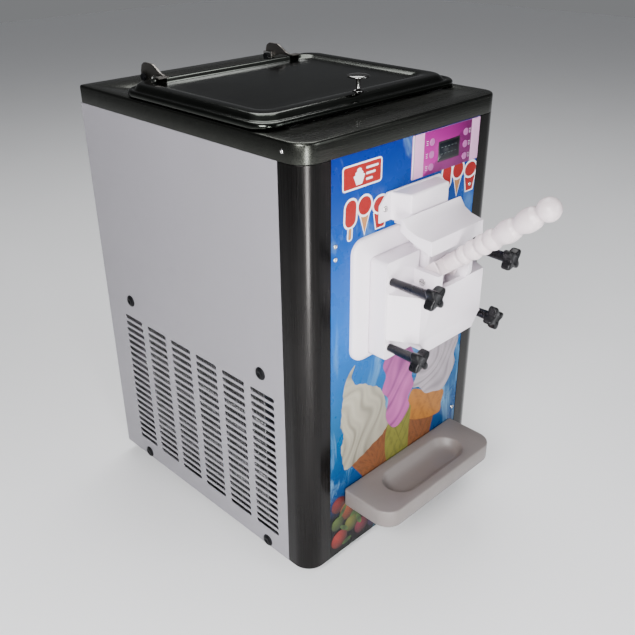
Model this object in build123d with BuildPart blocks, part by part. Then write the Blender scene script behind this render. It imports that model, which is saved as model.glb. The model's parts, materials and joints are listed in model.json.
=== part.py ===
"""Countertop soft serve machine, one flavour, as separate pieces on a bench.

Millimetres, +Z up.  The front looks along -Y and +X is the viewer's right.
The origin is on the surface the machine stands on, under the middle of the
whole machine with its handle.
"""
import os
from math import cos, radians, sin

from build123d import *

# ---------------------------------------------------------------- cabinet
cab_w, cab_d, cab_h = 380.0, 468.0, 630.0
foot_h = 20.0
front_y = -133.0                    # front face of the cabinet
back_y = front_y + cab_d
mid_y = (front_y + back_y) / 2
top_z = foot_h + cab_h              # worktop surface
half_w = cab_w / 2
skirt_h = 25.0
corner_r = 28.0
post_w, post_d = 45.0, 42.0
post_sheet, sheet = 1.5, 1.2
post_lip = 9.4
lip = 7.0                           # inward bends of posts and panels
gap = 0.3                           # between neighbouring sheets
panel_top = top_z - skirt_h - gap
panel_mid_z = (foot_h + panel_top) / 2
panel_h = panel_top - foot_h

# side louvres: columns run from front to rear
slot_cols, slot_rows = 6, 21
slot_w, slot_h = 49.0, 6.2
col_pitch, row_pitch = 61.8, 11.7
slots_mid_y, slots_mid_z = front_y + 241.5, foot_h + 153.5

# panel screws on each side panel
screw_r, screw_h = 7.6, 3.4
screw_ys = (front_y + 88.0, front_y + 398.0)
screw_zs = (foot_h + 9.0, foot_h + 304.0)

# ---------------------------------------------------------------- top
lid_w, lid_d = 375.0, 296.0
lid_y = front_y + 214.0             # middle of the lid
lid_z = top_z + 1.6                 # underside of the lid's bead
bead_h = 8.0
rim_w, rim_d, rim_top = 356.0, 284.0, top_z + 16.0
pan_w, pan_d, pan_z = 284.0, 208.0, top_z + 10.0
tub_w, tub_d, tub_depth, tub_r = 292.0, 240.0, 125.0, 30.0
tub_y = lid_y + 2.0
knob_y = front_y + 93.0
hinge_x, hinge_y, hinge_z = 120.0, front_y + 397.5, top_z + 11.0

# ---------------------------------------------------------------- head
head_x = 6.0                        # the head stands a little off centre
head_z = foot_h + 400.0             # axis of the freezing cylinder
plate_w, plate_h, plate_t = 182.0, 138.0, 37.0
block_front = front_y - 74.0
block_z0, block_z1 = foot_h + 342.0, foot_h + 426.0
block_w0, block_w1 = 174.0, 132.0   # at the plate and at the front
pivot_y, pivot_z = front_y - 51.0, foot_h + 431.0
lug_in, lug_out = 27.0, 36.0
bore_y, bore_r = front_y - 33.0, 15.0
plunger_r = bore_r - 0.06
stud_dx, stud_z_low, stud_z_high = 82.0, foot_h + 349.0, foot_h + 443.0
knob_front_low, knob_front_high = front_y - 95.0, front_y - 112.0
hood_z, hood_half = foot_h + 479.0, 60.0      # lower front edge of the hood
cover_z, cover_depth, cover_flange = foot_h + 504.5, 29.5, 67.0
cover_screw_dx, cover_screw_z = 57.0, foot_h + 523.0

# draw handle: s runs along the grip from the pivot, n stands square to it
grip_tilt = 39.1
grip_n = 6.7
pin_arm, pin_dip, pin_r = 18.0, 20.0, 4.0
valleys = (44.0, 58.5, 77.0, 92.5, 108.5, 142.0, 174.3)
valley_r = (10.2, 10.6, 11.2, 11.6, 12.0, 12.4, 12.6)
bead_r = (12.0, 12.8, 13.4, 13.9, 14.5, 14.5)
ball_s, ball_r = 190.0, 14.7

# ---------------------------------------------------------------- drip tray
tray_w, tray_d, tray_t = 250.0, 86.0, 27.0
tray_z = foot_h + 90.0
tray_stud_dx, tray_stud_z, tray_lift = 85.0, foot_h + 109.0, 10.0

# ---------------------------------------------------------------- controls
ctrl_x0, ctrl_x1 = 1.0, 144.0
ctrl_z0, ctrl_z1 = foot_h + 547.0, foot_h + 604.0
ctrl_x, ctrl_z = (ctrl_x0 + ctrl_x1) / 2, (ctrl_z0 + ctrl_z1) / 2
lcd_x, lcd_z, lcd_w, lcd_h = 76.5, foot_h + 573.0, 43.0, 24.0
button_xs = (39.5, 112.0)
button_zs = (foot_h + 589.5, foot_h + 573.0, foot_h + 556.5)
button_r = 5.0

# ---------------------------------------------------------------- inside
cyl_r, cyl_t, cyl_front, cyl_len = 46.0, 3.0, front_y + 4.0, 236.0
wall_y, wall_t = front_y + 244.0, 3.0         # bulkhead behind the cylinder
wall_x0, wall_x1 = -60.0, 184.0
motor_z, motor_r = foot_h + 255.0, 52.0
pulley_y, pulley_t = front_y + 330.0, 18.0
big_r, small_r = 52.0, 20.0
belt_t, belt_w = 5.0, 13.0
fan_y, fan_z, fan_r = front_y + 245.0, foot_h + 160.0, 98.0
cond_x, cond_t, cond_w, cond_h = -162.0, 34.0, 290.0, 262.0
comp_x, comp_y, comp_r, comp_h = 100.0, front_y + 365.0, 62.0, 168.0

os.makedirs("parts", exist_ok=True)


def front_plane(y):
    """Plane whose normal is -Y; its local axes are X and Z."""
    return Plane.XZ.offset(-y)


def slab(plane, at, size, thick, radius=0.0, mode=Mode.ADD):
    """Extrude a plain or rounded rectangle in the part being built."""
    with BuildSketch(plane) as profile:
        with Locations(at):
            if radius:
                RectangleRounded(*size, radius)
            else:
                Rectangle(*size)
    extrude(profile.sketch, amount=thick, mode=mode)


def disc(plane, at, radius, thick, mode=Mode.ADD):
    """Extrude a circle in the part being built."""
    with BuildSketch(plane) as profile:
        with Locations(at):
            Circle(radius)
    extrude(profile.sketch, amount=thick, mode=mode)


def cabinet_outline(inset):
    """The cabinet's plan: large radii at the front, small at the rear."""
    with Locations((0, mid_y)):
        Rectangle(cab_w - 2 * inset, cab_d - 2 * inset)
    front = vertices().group_by(Axis.Y)[0]
    rear = vertices().group_by(Axis.Y)[-1]
    fillet(front, corner_r - inset)
    fillet(rear, 6.0 - inset)


# =================================================================== base
pan_size = (2 * (half_w - post_lip - 0.4), cab_d - post_lip - 5.0)
pan_y = front_y + post_lip + 0.4 + pan_size[1] / 2
with BuildPart() as base_pan:
    slab(Plane.XY.offset(foot_h), (0, pan_y), pan_size, 20, 22)
    slab(Plane.XY.offset(foot_h + 2), (0, pan_y), (pan_size[0] - 3, pan_size[1] - 3), 20, 20.5, Mode.SUBTRACT)
    with BuildSketch(Plane.XY.offset(foot_h)):
        with Locations((0, front_y + 120)):
            with GridLocations(60, 16, 4, 5):
                SlotOverall(44, 6)
    extrude(amount=4, mode=Mode.SUBTRACT)
base_pan.part.label = "base_pan"
export_step(base_pan.part, "parts/base_pan.step")

with BuildPart() as rubber_feet:
    with BuildSketch(Plane.XY):
        with Locations((0, mid_y)):
            with GridLocations(250, 340, 2, 2):
                Circle(19)
    extrude(amount=foot_h, taper=-8)
rubber_feet.part.label = "rubber_feet"
export_step(rubber_feet.part, "parts/rubber_feet.step")

# ------------------------------------------------------- posts and panels
with BuildPart() as front_posts:
    with BuildSketch(Plane.XY.offset(foot_h)):
        with Locations((-half_w, front_y)):
            Rectangle(post_w, post_d, align=(Align.MIN, Align.MIN))
        fillet(vertices().group_by(Axis.Y)[0].sort_by(Axis.X)[0], corner_r)
        offset(amount=-post_sheet, kind=Kind.INTERSECTION, mode=Mode.SUBTRACT)
        with Locations((-half_w + post_lip, front_y + post_lip)):
            Rectangle(post_w, post_d, align=(Align.MIN, Align.MIN), mode=Mode.SUBTRACT)
    extrude(amount=panel_h)
    tab_at = (-half_w + 1.5 * post_sheet, front_y + post_d - 6)
    slab(Plane.XY.offset(panel_top - 30), tab_at, (post_sheet, 12), 28 + skirt_h)
    mirror(about=Plane.YZ)
front_posts.part.label = "front_posts"
export_step(front_posts.part, "parts/front_posts.step")

with BuildPart() as rear_posts:
    leg = 25.0
    rear_corner = (half_w - lip - 0.3, back_y - 2 * (sheet + gap))
    with BuildSketch(Plane.XY.offset(foot_h)):
        with Locations(rear_corner):
            Rectangle(leg, leg, align=(Align.MAX, Align.MAX))
        with Locations((rear_corner[0] - post_sheet, rear_corner[1] - post_sheet)):
            Rectangle(leg, leg, align=(Align.MAX, Align.MAX), mode=Mode.SUBTRACT)
    extrude(amount=top_z - post_sheet - foot_h)
    mirror(about=Plane.YZ)
rear_posts.part.label = "rear_posts"
export_step(rear_posts.part, "parts/rear_posts.step")

with BuildPart() as front_panel:
    width = cab_w - 2 * post_w - 2 * gap
    slab(front_plane(front_y + 8), (0, panel_mid_z), (width, panel_h), 7.5)
    slab(front_plane(front_y + 9), (0, panel_mid_z), (width - 3, panel_h - 3), 7, mode=Mode.SUBTRACT)
    slab(front_plane(front_y + 13), (head_x, head_z), (plate_w + 3, plate_h + 3), 20, 6, Mode.SUBTRACT)
    slab(front_plane(front_y + 13), (ctrl_x, ctrl_z), (112, 50), 20, 3, Mode.SUBTRACT)
    with BuildSketch(front_plane(front_y + 13)):
        with Locations((head_x - tray_stud_dx, tray_stud_z), (head_x + tray_stud_dx, tray_stud_z)):
            Circle(3.1)
    extrude(amount=20, mode=Mode.SUBTRACT)
front_panel.part.label = "front_panel"
export_step(front_panel.part, "parts/front_panel.step")

side_y0, side_y1 = front_y + post_d + gap, back_y - sheet - gap
with BuildPart() as side_panel_left:
    at = ((side_y0 + side_y1) / 2, panel_mid_z)
    size = (side_y1 - side_y0, panel_h)
    slab(Plane.YZ.offset(-half_w), at, size, lip)
    inner = (size[0] - 2 * sheet, size[1] - 2 * sheet)
    slab(Plane.YZ.offset(-half_w + sheet), at, inner, lip, mode=Mode.SUBTRACT)
    with BuildSketch(Plane.YZ.offset(-half_w)):
        with Locations((slots_mid_y, slots_mid_z)):
            with GridLocations(col_pitch, row_pitch, slot_cols, slot_rows):
                SlotOverall(slot_w, slot_h)
        with Locations([(y, z) for y in screw_ys for z in screw_zs]):
            Circle(2.2)
    extrude(amount=sheet, mode=Mode.SUBTRACT)
side_panel_left.part.label = "side_panel_left"
export_step(side_panel_left.part, "parts/side_panel_left.step")

with BuildPart() as side_panel_right:
    mirror(side_panel_left.part, about=Plane.YZ)
side_panel_right.part.label = "side_panel_right"
export_step(side_panel_right.part, "parts/side_panel_right.step")

gland_x, gland_z, gland_h = 120.0, foot_h + 60.0, 7.0
with BuildPart() as rear_panel:
    slab(front_plane(back_y), (0, panel_mid_z), (cab_w - 1, panel_h), sheet)
    with BuildSketch(front_plane(back_y)):
        with Locations((0, foot_h + 250)):
            with GridLocations(96, 15, 3, 16):
                SlotOverall(78, 7)
        with Locations((gland_x, gland_z)):
            Circle(9)
        with Locations((0, panel_mid_z)):
            with GridLocations(cab_w - 30, panel_h - 40, 2, 2):
                Circle(2.2)
    extrude(amount=sheet, mode=Mode.SUBTRACT)
rear_panel.part.label = "rear_panel"
export_step(rear_panel.part, "parts/rear_panel.step")

with BuildPart() as cord_gland:
    disc(front_plane(back_y + gland_h), (gland_x, gland_z), 12, gland_h)
    disc(front_plane(back_y), (gland_x, gland_z), 8.8, 14)
    disc(front_plane(back_y - 6), (gland_x, gland_z), 11, 4)
    disc(front_plane(back_y + gland_h), (gland_x, gland_z), 4.5, 30, Mode.SUBTRACT)
cord_gland.part.label = "cord_gland"
export_step(cord_gland.part, "parts/cord_gland.step")


trim_points = [(-137.5, foot_h + 497), (-137.5, foot_h + 480), (133.0, foot_h + 512), (137.0, foot_h + 135)]


def screw(plane, at, head_radius, head_height, shank_radius, shank):
    """Domed screw: head stands out along the plane's normal."""
    disc(plane, at, head_radius, head_height)
    disc(plane, at, shank_radius, -shank)


with BuildPart() as cabinet_screws:
    for side in (-1, 1):
        plane = Plane.YZ.offset(half_w) if side > 0 else Plane(
            origin=(-half_w, 0, 0), x_dir=(0, -1, 0), z_dir=(-1, 0, 0))
        for y in screw_ys:
            for z in screw_zs:
                screw(plane, (side * y, z), screw_r, screw_h, 2.0, 6.0)
    rims = edges().filter_by(GeomType.CIRCLE)
    crowns = rims.filter_by(lambda e: e.radius > 5 and abs(e.center().X) > half_w + 1)
    fillet(crowns, 2.4)
    for at in trim_points:
        disc(front_plane(front_y + 0.5), at, 3.2, 1.8)
    for side in (-1, 1):
        screw(front_plane(front_y - 3), (head_x + side * cover_screw_dx, cover_screw_z), 4.2, 1.8, 2.0, 2.4)
    rear = Plane.XZ.rotated((0, 0, 180)).offset(back_y)
    for x in (-(cab_w - 30) / 2, (cab_w - 30) / 2):
        for z in (panel_mid_z - (panel_h - 40) / 2, panel_mid_z + (panel_h - 40) / 2):
            screw(rear, (x, z), 5.0, 2.2, 2.0, 1.4)
    for side in (-1, 1):
        plane = Plane.YZ.offset(half_w) if side > 0 else Plane(
            origin=(-half_w, 0, 0), x_dir=(0, -1, 0), z_dir=(-1, 0, 0))
        disc(plane, (side * (front_y + 33.6), foot_h + 617.5), 2.8, 1.2)
cabinet_screws.part.label = "cabinet_screws"
export_step(cabinet_screws.part, "parts/cabinet_screws.step")

# =================================================================== top
with BuildPart() as top_cap:
    with BuildSketch(Plane.XY.offset(top_z - skirt_h)):
        cabinet_outline(0)
    extrude(amount=skirt_h)
    fillet(faces().sort_by(Axis.Z)[-1].edges(), 2.5)
    with BuildSketch(Plane.XY.offset(top_z - skirt_h)):
        cabinet_outline(post_sheet)
    extrude(amount=skirt_h - post_sheet, mode=Mode.SUBTRACT)
    slab(Plane.XY.offset(top_z - 5), (0, tub_y), (tub_w + 2, tub_d + 2), 10, tub_r + 1, Mode.SUBTRACT)
top_cap.part.label = "top_cap"
export_step(top_cap.part, "parts/top_cap.step")

feed_y = front_y + 190.0
with BuildPart() as hopper_tub:
    slab(Plane.XY.offset(top_z), (0, tub_y), (tub_w + 24, tub_d + 24), sheet, tub_r + 8)
    slab(Plane.XY.offset(top_z - tub_depth), (0, tub_y), (tub_w, tub_d), tub_depth, tub_r)
    slab(Plane.XY.offset(top_z - tub_depth + sheet), (0, tub_y), (tub_w - 2 * sheet, tub_d - 2 * sheet),
         tub_depth + 5, tub_r - sheet, Mode.SUBTRACT)
    disc(Plane.XY.offset(top_z - tub_depth), (head_x, feed_y), 11, -14)
    disc(Plane.XY.offset(top_z - tub_depth + 5), (head_x, feed_y), 9, -30, Mode.SUBTRACT)
hopper_tub.part.label = "hopper_tub"
export_step(hopper_tub.part, "parts/hopper_tub.step")

with BuildPart() as feed_tube:
    disc(Plane.XY.offset(top_z - tub_depth - 12), (head_x, feed_y), 8.8, tub_depth - 6)
    disc(Plane.XY.offset(top_z - tub_depth - 13), (head_x, feed_y), 6.5, tub_depth, Mode.SUBTRACT)
    disc(Plane.XY.offset(top_z - tub_depth + 1.4), (head_x, feed_y), 12, 5)
    disc(Plane.XY.offset(top_z - tub_depth - 1), (head_x, feed_y), 6.5, 10, Mode.SUBTRACT)
    disc(Plane.YZ.offset(head_x - 20), (feed_y, top_z - tub_depth + 12), 2.5, 40, Mode.SUBTRACT)
feed_tube.part.label = "feed_tube"
export_step(feed_tube.part, "parts/feed_tube.step")

with BuildPart() as lid:
    slab(Plane.XY.offset(lid_z), (0, lid_y), (lid_w, lid_d), bead_h, corner_r + 2)
    fillet(faces().sort_by(Axis.Z)[-1].edges(), 3.6)
    with BuildSketch(Plane.XY.offset(lid_z + bead_h - 1)):
        with Locations((0, lid_y)):
            RectangleRounded(rim_w, rim_d, corner_r - 4)
    extrude(amount=rim_top - lid_z - bead_h + 1, taper=25)
    fillet(faces().sort_by(Axis.Z)[-1].edges(), 2.2)
    with BuildSketch(Plane.XY.offset(pan_z)):
        with Locations((0, lid_y + 5)):
            RectangleRounded(pan_w, pan_d, 16)
    extrude(amount=rim_top - pan_z + 1, taper=-58, mode=Mode.SUBTRACT)
    slab(Plane.XY.offset(lid_z), (0, lid_y), (lid_w - 3, lid_d - 3), bead_h - 1.5, corner_r, Mode.SUBTRACT)
lid.part.label = "lid"
export_step(lid.part, "parts/lid.step")

with BuildPart() as lid_knob:
    with BuildSketch(Plane.XZ.offset(-knob_y)):
        with BuildLine():
            z = rim_top
            Polyline((0, z), (7.5, z), (7.5, z + 1.6), (3.0, z + 3.2), (2.8, z + 16.5), (5.5, z + 17.5),
                     (14.5, z + 18.0), (15.1, z + 19.1), (14.2, z + 20.2), (8.0, z + 21.5), (0, z + 22.0),
                     (0, z))
        make_face()
    revolve(axis=Axis((0, knob_y, 0), (0, 0, 1)))
lid_knob.part.label = "lid_knob"
export_step(lid_knob.part, "parts/lid_knob.step")

with BuildPart() as lid_ears:
    for side in (-1, 1):
        with BuildSketch(Plane.YZ.offset(side * hinge_x - 1.5)):
            with BuildLine():
                y, z = front_y, foot_h
                Polyline((y + 340, z + 646), (y + 360, z + 651), (y + 368, z + 656.5), (y + 377, z + 661),
                         (y + 397, z + 661), (y + 403, z + 657), (y + 406, z + 648), (y + 406, z + 639),
                         (y + 403, z + 634), (y + 392, z + 634), (y + 387, z + 640), (y + 372, z + 646),
                         (y + 340, z + 646))
            make_face()
            fillet(vertices().filter_by(lambda v: v.Y > front_y + 361), 1.5)
            with Locations((hinge_y, hinge_z)):
                Circle(3.06, mode=Mode.SUBTRACT)
        extrude(amount=3)
        slab(Plane.XY.offset(rim_top), (side * (hinge_x + 7), front_y + 347), (17, 10), 2)
lid_ears.part.label = "lid_ears"
export_step(lid_ears.part, "parts/lid_ears.step")

with BuildPart() as hinge_brackets:
    for side in (-1, 1):
        slab(Plane.XY.offset(top_z), (side * (hinge_x - 13), hinge_y), (20, 26), 2.5)
        slab(Plane.YZ.offset(side * (hinge_x - 4.5) - 1.5), (hinge_y, top_z + 9), (18, 18), 3)
    with BuildSketch(Plane.YZ.offset(-half_w)):
        with Locations((hinge_y, hinge_z)):
            Circle(3.0)
    extrude(amount=cab_w, mode=Mode.SUBTRACT)
hinge_brackets.part.label = "hinge_brackets"
export_step(hinge_brackets.part, "parts/hinge_brackets.step")

with BuildPart() as hinge_bolts:
    for side in (-1, 1):
        plane = Plane.YZ.offset(side * (hinge_x - 6.2))
        disc(plane, (hinge_y, hinge_z), 3.0, side * 12)
        with BuildSketch(plane):
            with Locations((hinge_y, hinge_z)):
                RegularPolygon(5.6, 6)
        extrude(amount=-side * 4)
        with BuildSketch(Plane.YZ.offset(side * (hinge_x + 2.0))):
            with Locations((hinge_y, hinge_z)):
                RegularPolygon(5.6, 6)
        extrude(amount=side * 3.6)
hinge_bolts.part.label = "hinge_bolts"
export_step(hinge_bolts.part, "parts/hinge_bolts.step")

# ============================================================ dispensing head
with BuildPart() as surround:
    with BuildSketch(front_plane(front_y + 0.5)):
        with Locations((head_x, foot_h + 408.5)):
            RectangleRounded(232, 173, 18)
    extrude(amount=3.5)
    with BuildSketch(front_plane(front_y - 3)):
        with Locations((head_x, foot_h + 408.5)):
            RectangleRounded(231, 172, 18)
    with BuildSketch(front_plane(front_y - 12)):
        with Locations((head_x, foot_h + 404)):
            RectangleRounded(192, 148, 10)
    loft()
    fillet(faces().sort_by(Axis.Y)[0].edges().filter_by(lambda e: e.length > 4), 2.5)
    slab(front_plane(front_y + 2), (head_x, head_z), (plate_w + 0.8, plate_h + 0.8), 20, 6.4, Mode.SUBTRACT)
surround.part.label = "surround"
export_step(surround.part, "parts/surround.step")

with BuildPart() as valve_block:
    slab(front_plane(front_y + 2), (head_x, head_z), (plate_w, plate_h), plate_t + 2, 6)
    with BuildSketch(Plane.XY.offset(block_z0)):
        with BuildLine():
            y0 = front_y - plate_t + 0.5
            Polyline((head_x - block_w0 / 2, y0), (head_x + block_w0 / 2, y0),
                     (head_x + block_w1 / 2, block_front), (head_x - block_w1 / 2, block_front),
                     (head_x - block_w0 / 2, y0))
        make_face()
    extrude(amount=block_z1 - block_z0)
    corner_cut = front_plane(front_y - plate_t)
    for side in (-1, 1):
        with BuildSketch(corner_cut):
            with BuildLine():
                Polyline((head_x + side * 50, block_z0 - 1), (head_x + side * 95, block_z0 - 1),
                         (head_x + side * 95, block_z0 + 19), (head_x + side * 64, block_z0 + 19),
                         (head_x + side * 50, block_z0 - 1))
            make_face()
        extrude(amount=60, mode=Mode.SUBTRACT)
        with BuildSketch(Plane.YZ.offset(head_x + side * (lug_in + lug_out) / 2 - (lug_out - lug_in) / 2)):
            with Locations(((block_front + front_y - plate_t) / 2 - 0.5, block_z1 + 8)):
                Rectangle(front_y - plate_t - block_front + 3, 24)
            fillet(vertices().group_by(Axis.Z)[-1].sort_by(Axis.Y)[0], 12)
        extrude(amount=lug_out - lug_in)
    slab(Plane.XY.offset(foot_h + 408), (head_x, front_y - 42), (2 * lug_in, 48), 80, mode=Mode.SUBTRACT)
    front_wall = Plane.XY.offset(block_z1 - 1.5)
    slab(front_wall, (head_x, block_front + 10), (2 * lug_in, 24), 40, mode=Mode.SUBTRACT)
    disc(Plane.XY.offset(foot_h + 333), (head_x, bore_y), 18, 12)
    disc(Plane.XY.offset(foot_h + 330), (head_x, bore_y), bore_r, 90, Mode.SUBTRACT)
    with BuildSketch(front_plane(front_y + 3)):
        with Locations((head_x, head_z - 30)):
            Circle(9)
    extrude(amount=34, mode=Mode.SUBTRACT)
    with BuildSketch(front_plane(front_y + 3)):
        with Locations((head_x, (stud_z_low + stud_z_high) / 2)):
            with GridLocations(2 * stud_dx, stud_z_high - stud_z_low, 2, 2):
                Circle(4.5)
    extrude(amount=60, mode=Mode.SUBTRACT)
    with BuildSketch(Plane.YZ.offset(head_x - 50)):
        with Locations((pivot_y, pivot_z)):
            Circle(5.06)
    extrude(amount=100, mode=Mode.SUBTRACT)
valve_block.part.label = "valve_block"
export_step(valve_block.part, "parts/valve_block.step")

with BuildPart() as head_gasket:
    with BuildSketch(front_plane(front_y + 4)):
        with Locations((head_x, head_z)):
            Circle(54)
            Circle(cyl_r + 1, mode=Mode.SUBTRACT)
    extrude(amount=2)
head_gasket.part.label = "head_gasket"
export_step(head_gasket.part, "parts/head_gasket.step")

with BuildPart() as head_studs:
    for side in (-1, 1):
        for z in (stud_z_low, stud_z_high):
            disc(front_plane(front_y + 15), (head_x + side * stud_dx, z), 4.0, 75)
head_studs.part.label = "head_studs"
export_step(head_studs.part, "parts/head_studs.step")

with BuildPart() as stud_washers:
    with BuildSketch(front_plane(front_y - plate_t)):
        with Locations((head_x, (stud_z_low + stud_z_high) / 2)):
            with GridLocations(2 * stud_dx, stud_z_high - stud_z_low, 2, 2):
                Circle(7.5)
                Circle(4.3, mode=Mode.SUBTRACT)
    extrude(amount=1.6)
stud_washers.part.label = "stud_washers"
export_step(stud_washers.part, "parts/stud_washers.step")


# four-lobed hand knobs with long tapered necks, threaded on their studs
knob_places = ((-1, stud_z_high, knob_front_high), (1, stud_z_high, knob_front_high),
               (-1, stud_z_low, knob_front_low), (1, stud_z_low, knob_front_low))
neck_rear = front_y - plate_t - 1.9
lobe_angles = (38, 38, 38, 4)
for number, (side, z, front) in enumerate(knob_places, 1):
    at = (head_x + side * stud_dx, z)
    with BuildPart() as star:
        for y, radius in ((neck_rear, 5.4), (front + 14, 7.0)):
            with BuildSketch(front_plane(y)):
                with Locations(at):
                    Circle(radius)
        loft()
        with BuildSketch(front_plane(front + 14)):
            with Locations(at):
                Circle(9.5)
                with PolarLocations(12.4, 4, start_angle=lobe_angles[number - 1]):
                    Circle(5.2)
            fillet(vertices(), 2.5)
        extrude(amount=14)
        fillet(faces().sort_by(Axis.Y)[0].edges(), 1.5)
        disc(front_plane(neck_rear + 1), at, 4.1, 26, Mode.SUBTRACT)
    star.part.label = f"star_knob_{number}"
    export_step(star.part, f"parts/star_knob_{number}.step")

# ------------------------------------------------------------ draw valve
rest_pin = (pivot_y + pin_arm * cos(radians(pin_dip)), pivot_z - pin_arm * sin(radians(pin_dip)))
with BuildPart() as valve_plunger:
    disc(Plane.XY.offset(foot_h + 336), (head_x, bore_y), plunger_r, 78)
    slab(Plane.XY.offset(foot_h + 413), (head_x, bore_y), (39, 28), 63, 3)
    for z in (346, 402):
        with BuildSketch(Plane.XY.offset(foot_h + z)):
            with Locations((head_x, bore_y)):
                Circle(plunger_r + 1)
                Circle(plunger_r - 2.2, mode=Mode.SUBTRACT)
        extrude(amount=3.4, mode=Mode.SUBTRACT)
    with BuildSketch(Plane.YZ.offset(head_x - 30)):
        with Locations(rest_pin):
            SlotOverall(13, 2 * pin_r + 0.6)
    extrude(amount=60, mode=Mode.SUBTRACT)
valve_plunger.part.label = "valve_plunger"
export_step(valve_plunger.part, "parts/valve_plunger.step")

with BuildPart() as plunger_rings:
    for z in (346, 402):
        with BuildSketch(Plane.XY.offset(foot_h + z + 0.2)):
            with Locations((head_x, bore_y)):
                Circle(plunger_r - 0.02)
                Circle(plunger_r - 2.1, mode=Mode.SUBTRACT)
        extrude(amount=3.0)
plunger_rings.part.label = "plunger_rings"
export_step(plunger_rings.part, "parts/plunger_rings.step")

# side view of the lever: local x is s, local y is n
along_grip = (0, -cos(radians(grip_tilt)), sin(radians(grip_tilt)))
side_view = Plane(origin=(head_x, pivot_y, pivot_z), x_dir=along_grip, z_dir=(-1, 0, 0))
with BuildPart() as draw_handle:
    with BuildSketch(side_view.offset(-26)) as yoke:
        Circle(9)
        with Locations(tuple(side_view.to_local_coords(Vector(head_x, *rest_pin)))[:2]):
            Circle(7)
        with Locations((18.5, 6.0)):
            Rectangle(11, 21)
        make_hull()
    extrude(amount=52)
    with BuildSketch(side_view.offset(-20.3)):
        with Locations((-23, 0)):
            Rectangle(72, 60)
    extrude(amount=40.6, mode=Mode.SUBTRACT)
    with BuildSketch(side_view):
        with BuildLine():
            Line((16, grip_n), (16, grip_n + 11))
            Line((16, grip_n + 11), (valleys[0] - 2, grip_n + 11))
            Line((valleys[0] - 2, grip_n + 11), (valleys[0], grip_n + valley_r[0]))
            for i, peak in enumerate(bead_r):
                a, b = valleys[i], valleys[i + 1]
                ThreePointArc((a, grip_n + valley_r[i]), ((a + b) / 2, grip_n + peak),
                              (b, grip_n + valley_r[i + 1]))
            shoulder = (valleys[-1] + ball_s) / 2
            ThreePointArc((valleys[-1], grip_n + valley_r[-1]), (shoulder, grip_n + ball_r - 0.5),
                          (ball_s, grip_n + ball_r))
            RadiusArc((ball_s, grip_n + ball_r), (ball_s + ball_r, grip_n), ball_r)
            Line((ball_s + ball_r, grip_n), (16, grip_n))
        make_face()
    grip_axis = Axis(side_view.from_local_coords(Vector(0, grip_n, 0)), side_view.x_dir)
    revolve(axis=grip_axis)
    with BuildSketch(Plane.YZ.offset(head_x - 30)):
        with Locations((pivot_y, pivot_z), rest_pin):
            Circle(pin_r)
    extrude(amount=60, mode=Mode.SUBTRACT)
draw_handle.part.label = "draw_handle"
export_step(draw_handle.part, "parts/draw_handle.step")

with BuildPart() as handle_pins:
    disc(Plane.YZ.offset(head_x - 26), rest_pin, pin_r, 52)
    for side in (-1, 1):
        disc(Plane.YZ.offset(head_x + side * 20.6), (pivot_y, pivot_z), pin_r, side * 6)
        disc(Plane.YZ.offset(head_x + side * 26.4), (pivot_y, pivot_z), 5.0, side * (lug_out - 26.4 + 0.8))
        slab(Plane.YZ.offset(head_x + side * (lug_out - 0.6)), (pivot_y, pivot_z), (8, 1.4), side * 2,
             mode=Mode.SUBTRACT)
handle_pins.part.label = "handle_pins"
export_step(handle_pins.part, "parts/handle_pins.step")

# ------------------------------------------------------------ head covers
# The hood's rim rises against the cover's face and its bracket runs back below the cover.
with BuildPart() as handle_hood:
    y = front_y
    with BuildSketch(Plane.YZ.offset(head_x - hood_half)):
        with BuildLine():
            Polyline((y - 30.3, hood_z + 22), (y - 30.3, hood_z + 38), (y - 33, hood_z + 39),
                     (y - 41, hood_z + 28), (y - 54, hood_z + 22), (y - 75, hood_z + 19), (y - 76, hood_z),
                     (y - 55, hood_z + 8), (y - 30.3, hood_z + 22))
        make_face()
    extrude(amount=2 * hood_half)
    for side in (-1, 1):
        with BuildSketch(Plane.XY.offset(hood_z - 5)):
            with BuildLine():
                x = head_x
                Polyline((x + side * hood_half, y - 36), (x + side * 65, y - 36), (x + side * 65, y - 80),
                         (x + side * 53.5, y - 80), (x + side * hood_half, y - 36))
            make_face()
        extrude(amount=60, mode=Mode.SUBTRACT)
    with BuildSketch(Plane.YZ.offset(head_x - hood_half + 12)):
        with BuildLine():
            Polyline((y - 33, hood_z - 2), (y - 33, hood_z + 34), (y - 39, hood_z + 25),
                     (y - 53, hood_z + 19), (y - 72, hood_z + 16), (y - 73, hood_z - 2), (y - 33, hood_z - 2))
        make_face()
    extrude(amount=2 * (hood_half - 12), mode=Mode.SUBTRACT)
    slab(front_plane(front_y - 0.5), (head_x, hood_z + 22), (72, 5), 32)
handle_hood.part.label = "handle_hood"
export_step(handle_hood.part, "parts/handle_hood.step")

with BuildPart() as switch_cover:
    with BuildSketch(front_plane(front_y - 0.5)):
        with BuildLine():
            x, low, high = cover_flange, cover_z + 2, cover_z + 39
            Polyline((head_x - x, low), (head_x + x, low), (head_x + x, low + 22), (head_x + x - 14, high),
                     (head_x - x + 14, high), (head_x - x, low + 22), (head_x - x, low))
        make_face()
    extrude(amount=2.5)
    for depth, width, low, high in ((2, 93, 2.5, 38), (cover_depth, 76, 0, 38.5)):
        with BuildSketch(front_plane(front_y - depth)):
            with Locations((head_x - 0.5, cover_z + (low + high) / 2)):
                Rectangle(width, high - low)
    loft()
    rim = edges().filter_by(lambda e: e.center().Y < front_y - 4 and e.center().Z > cover_z + 2)
    fillet(rim, 3)
    slab(front_plane(front_y), (head_x, cover_z + 20), (68, 32), cover_depth - 3, mode=Mode.SUBTRACT)
    with BuildSketch(front_plane(front_y)):
        with Locations([(head_x + side * cover_screw_dx, cover_screw_z) for side in (-1, 1)]):
            Circle(2.2)
    extrude(amount=4, mode=Mode.SUBTRACT)
switch_cover.part.label = "switch_cover"
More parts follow.
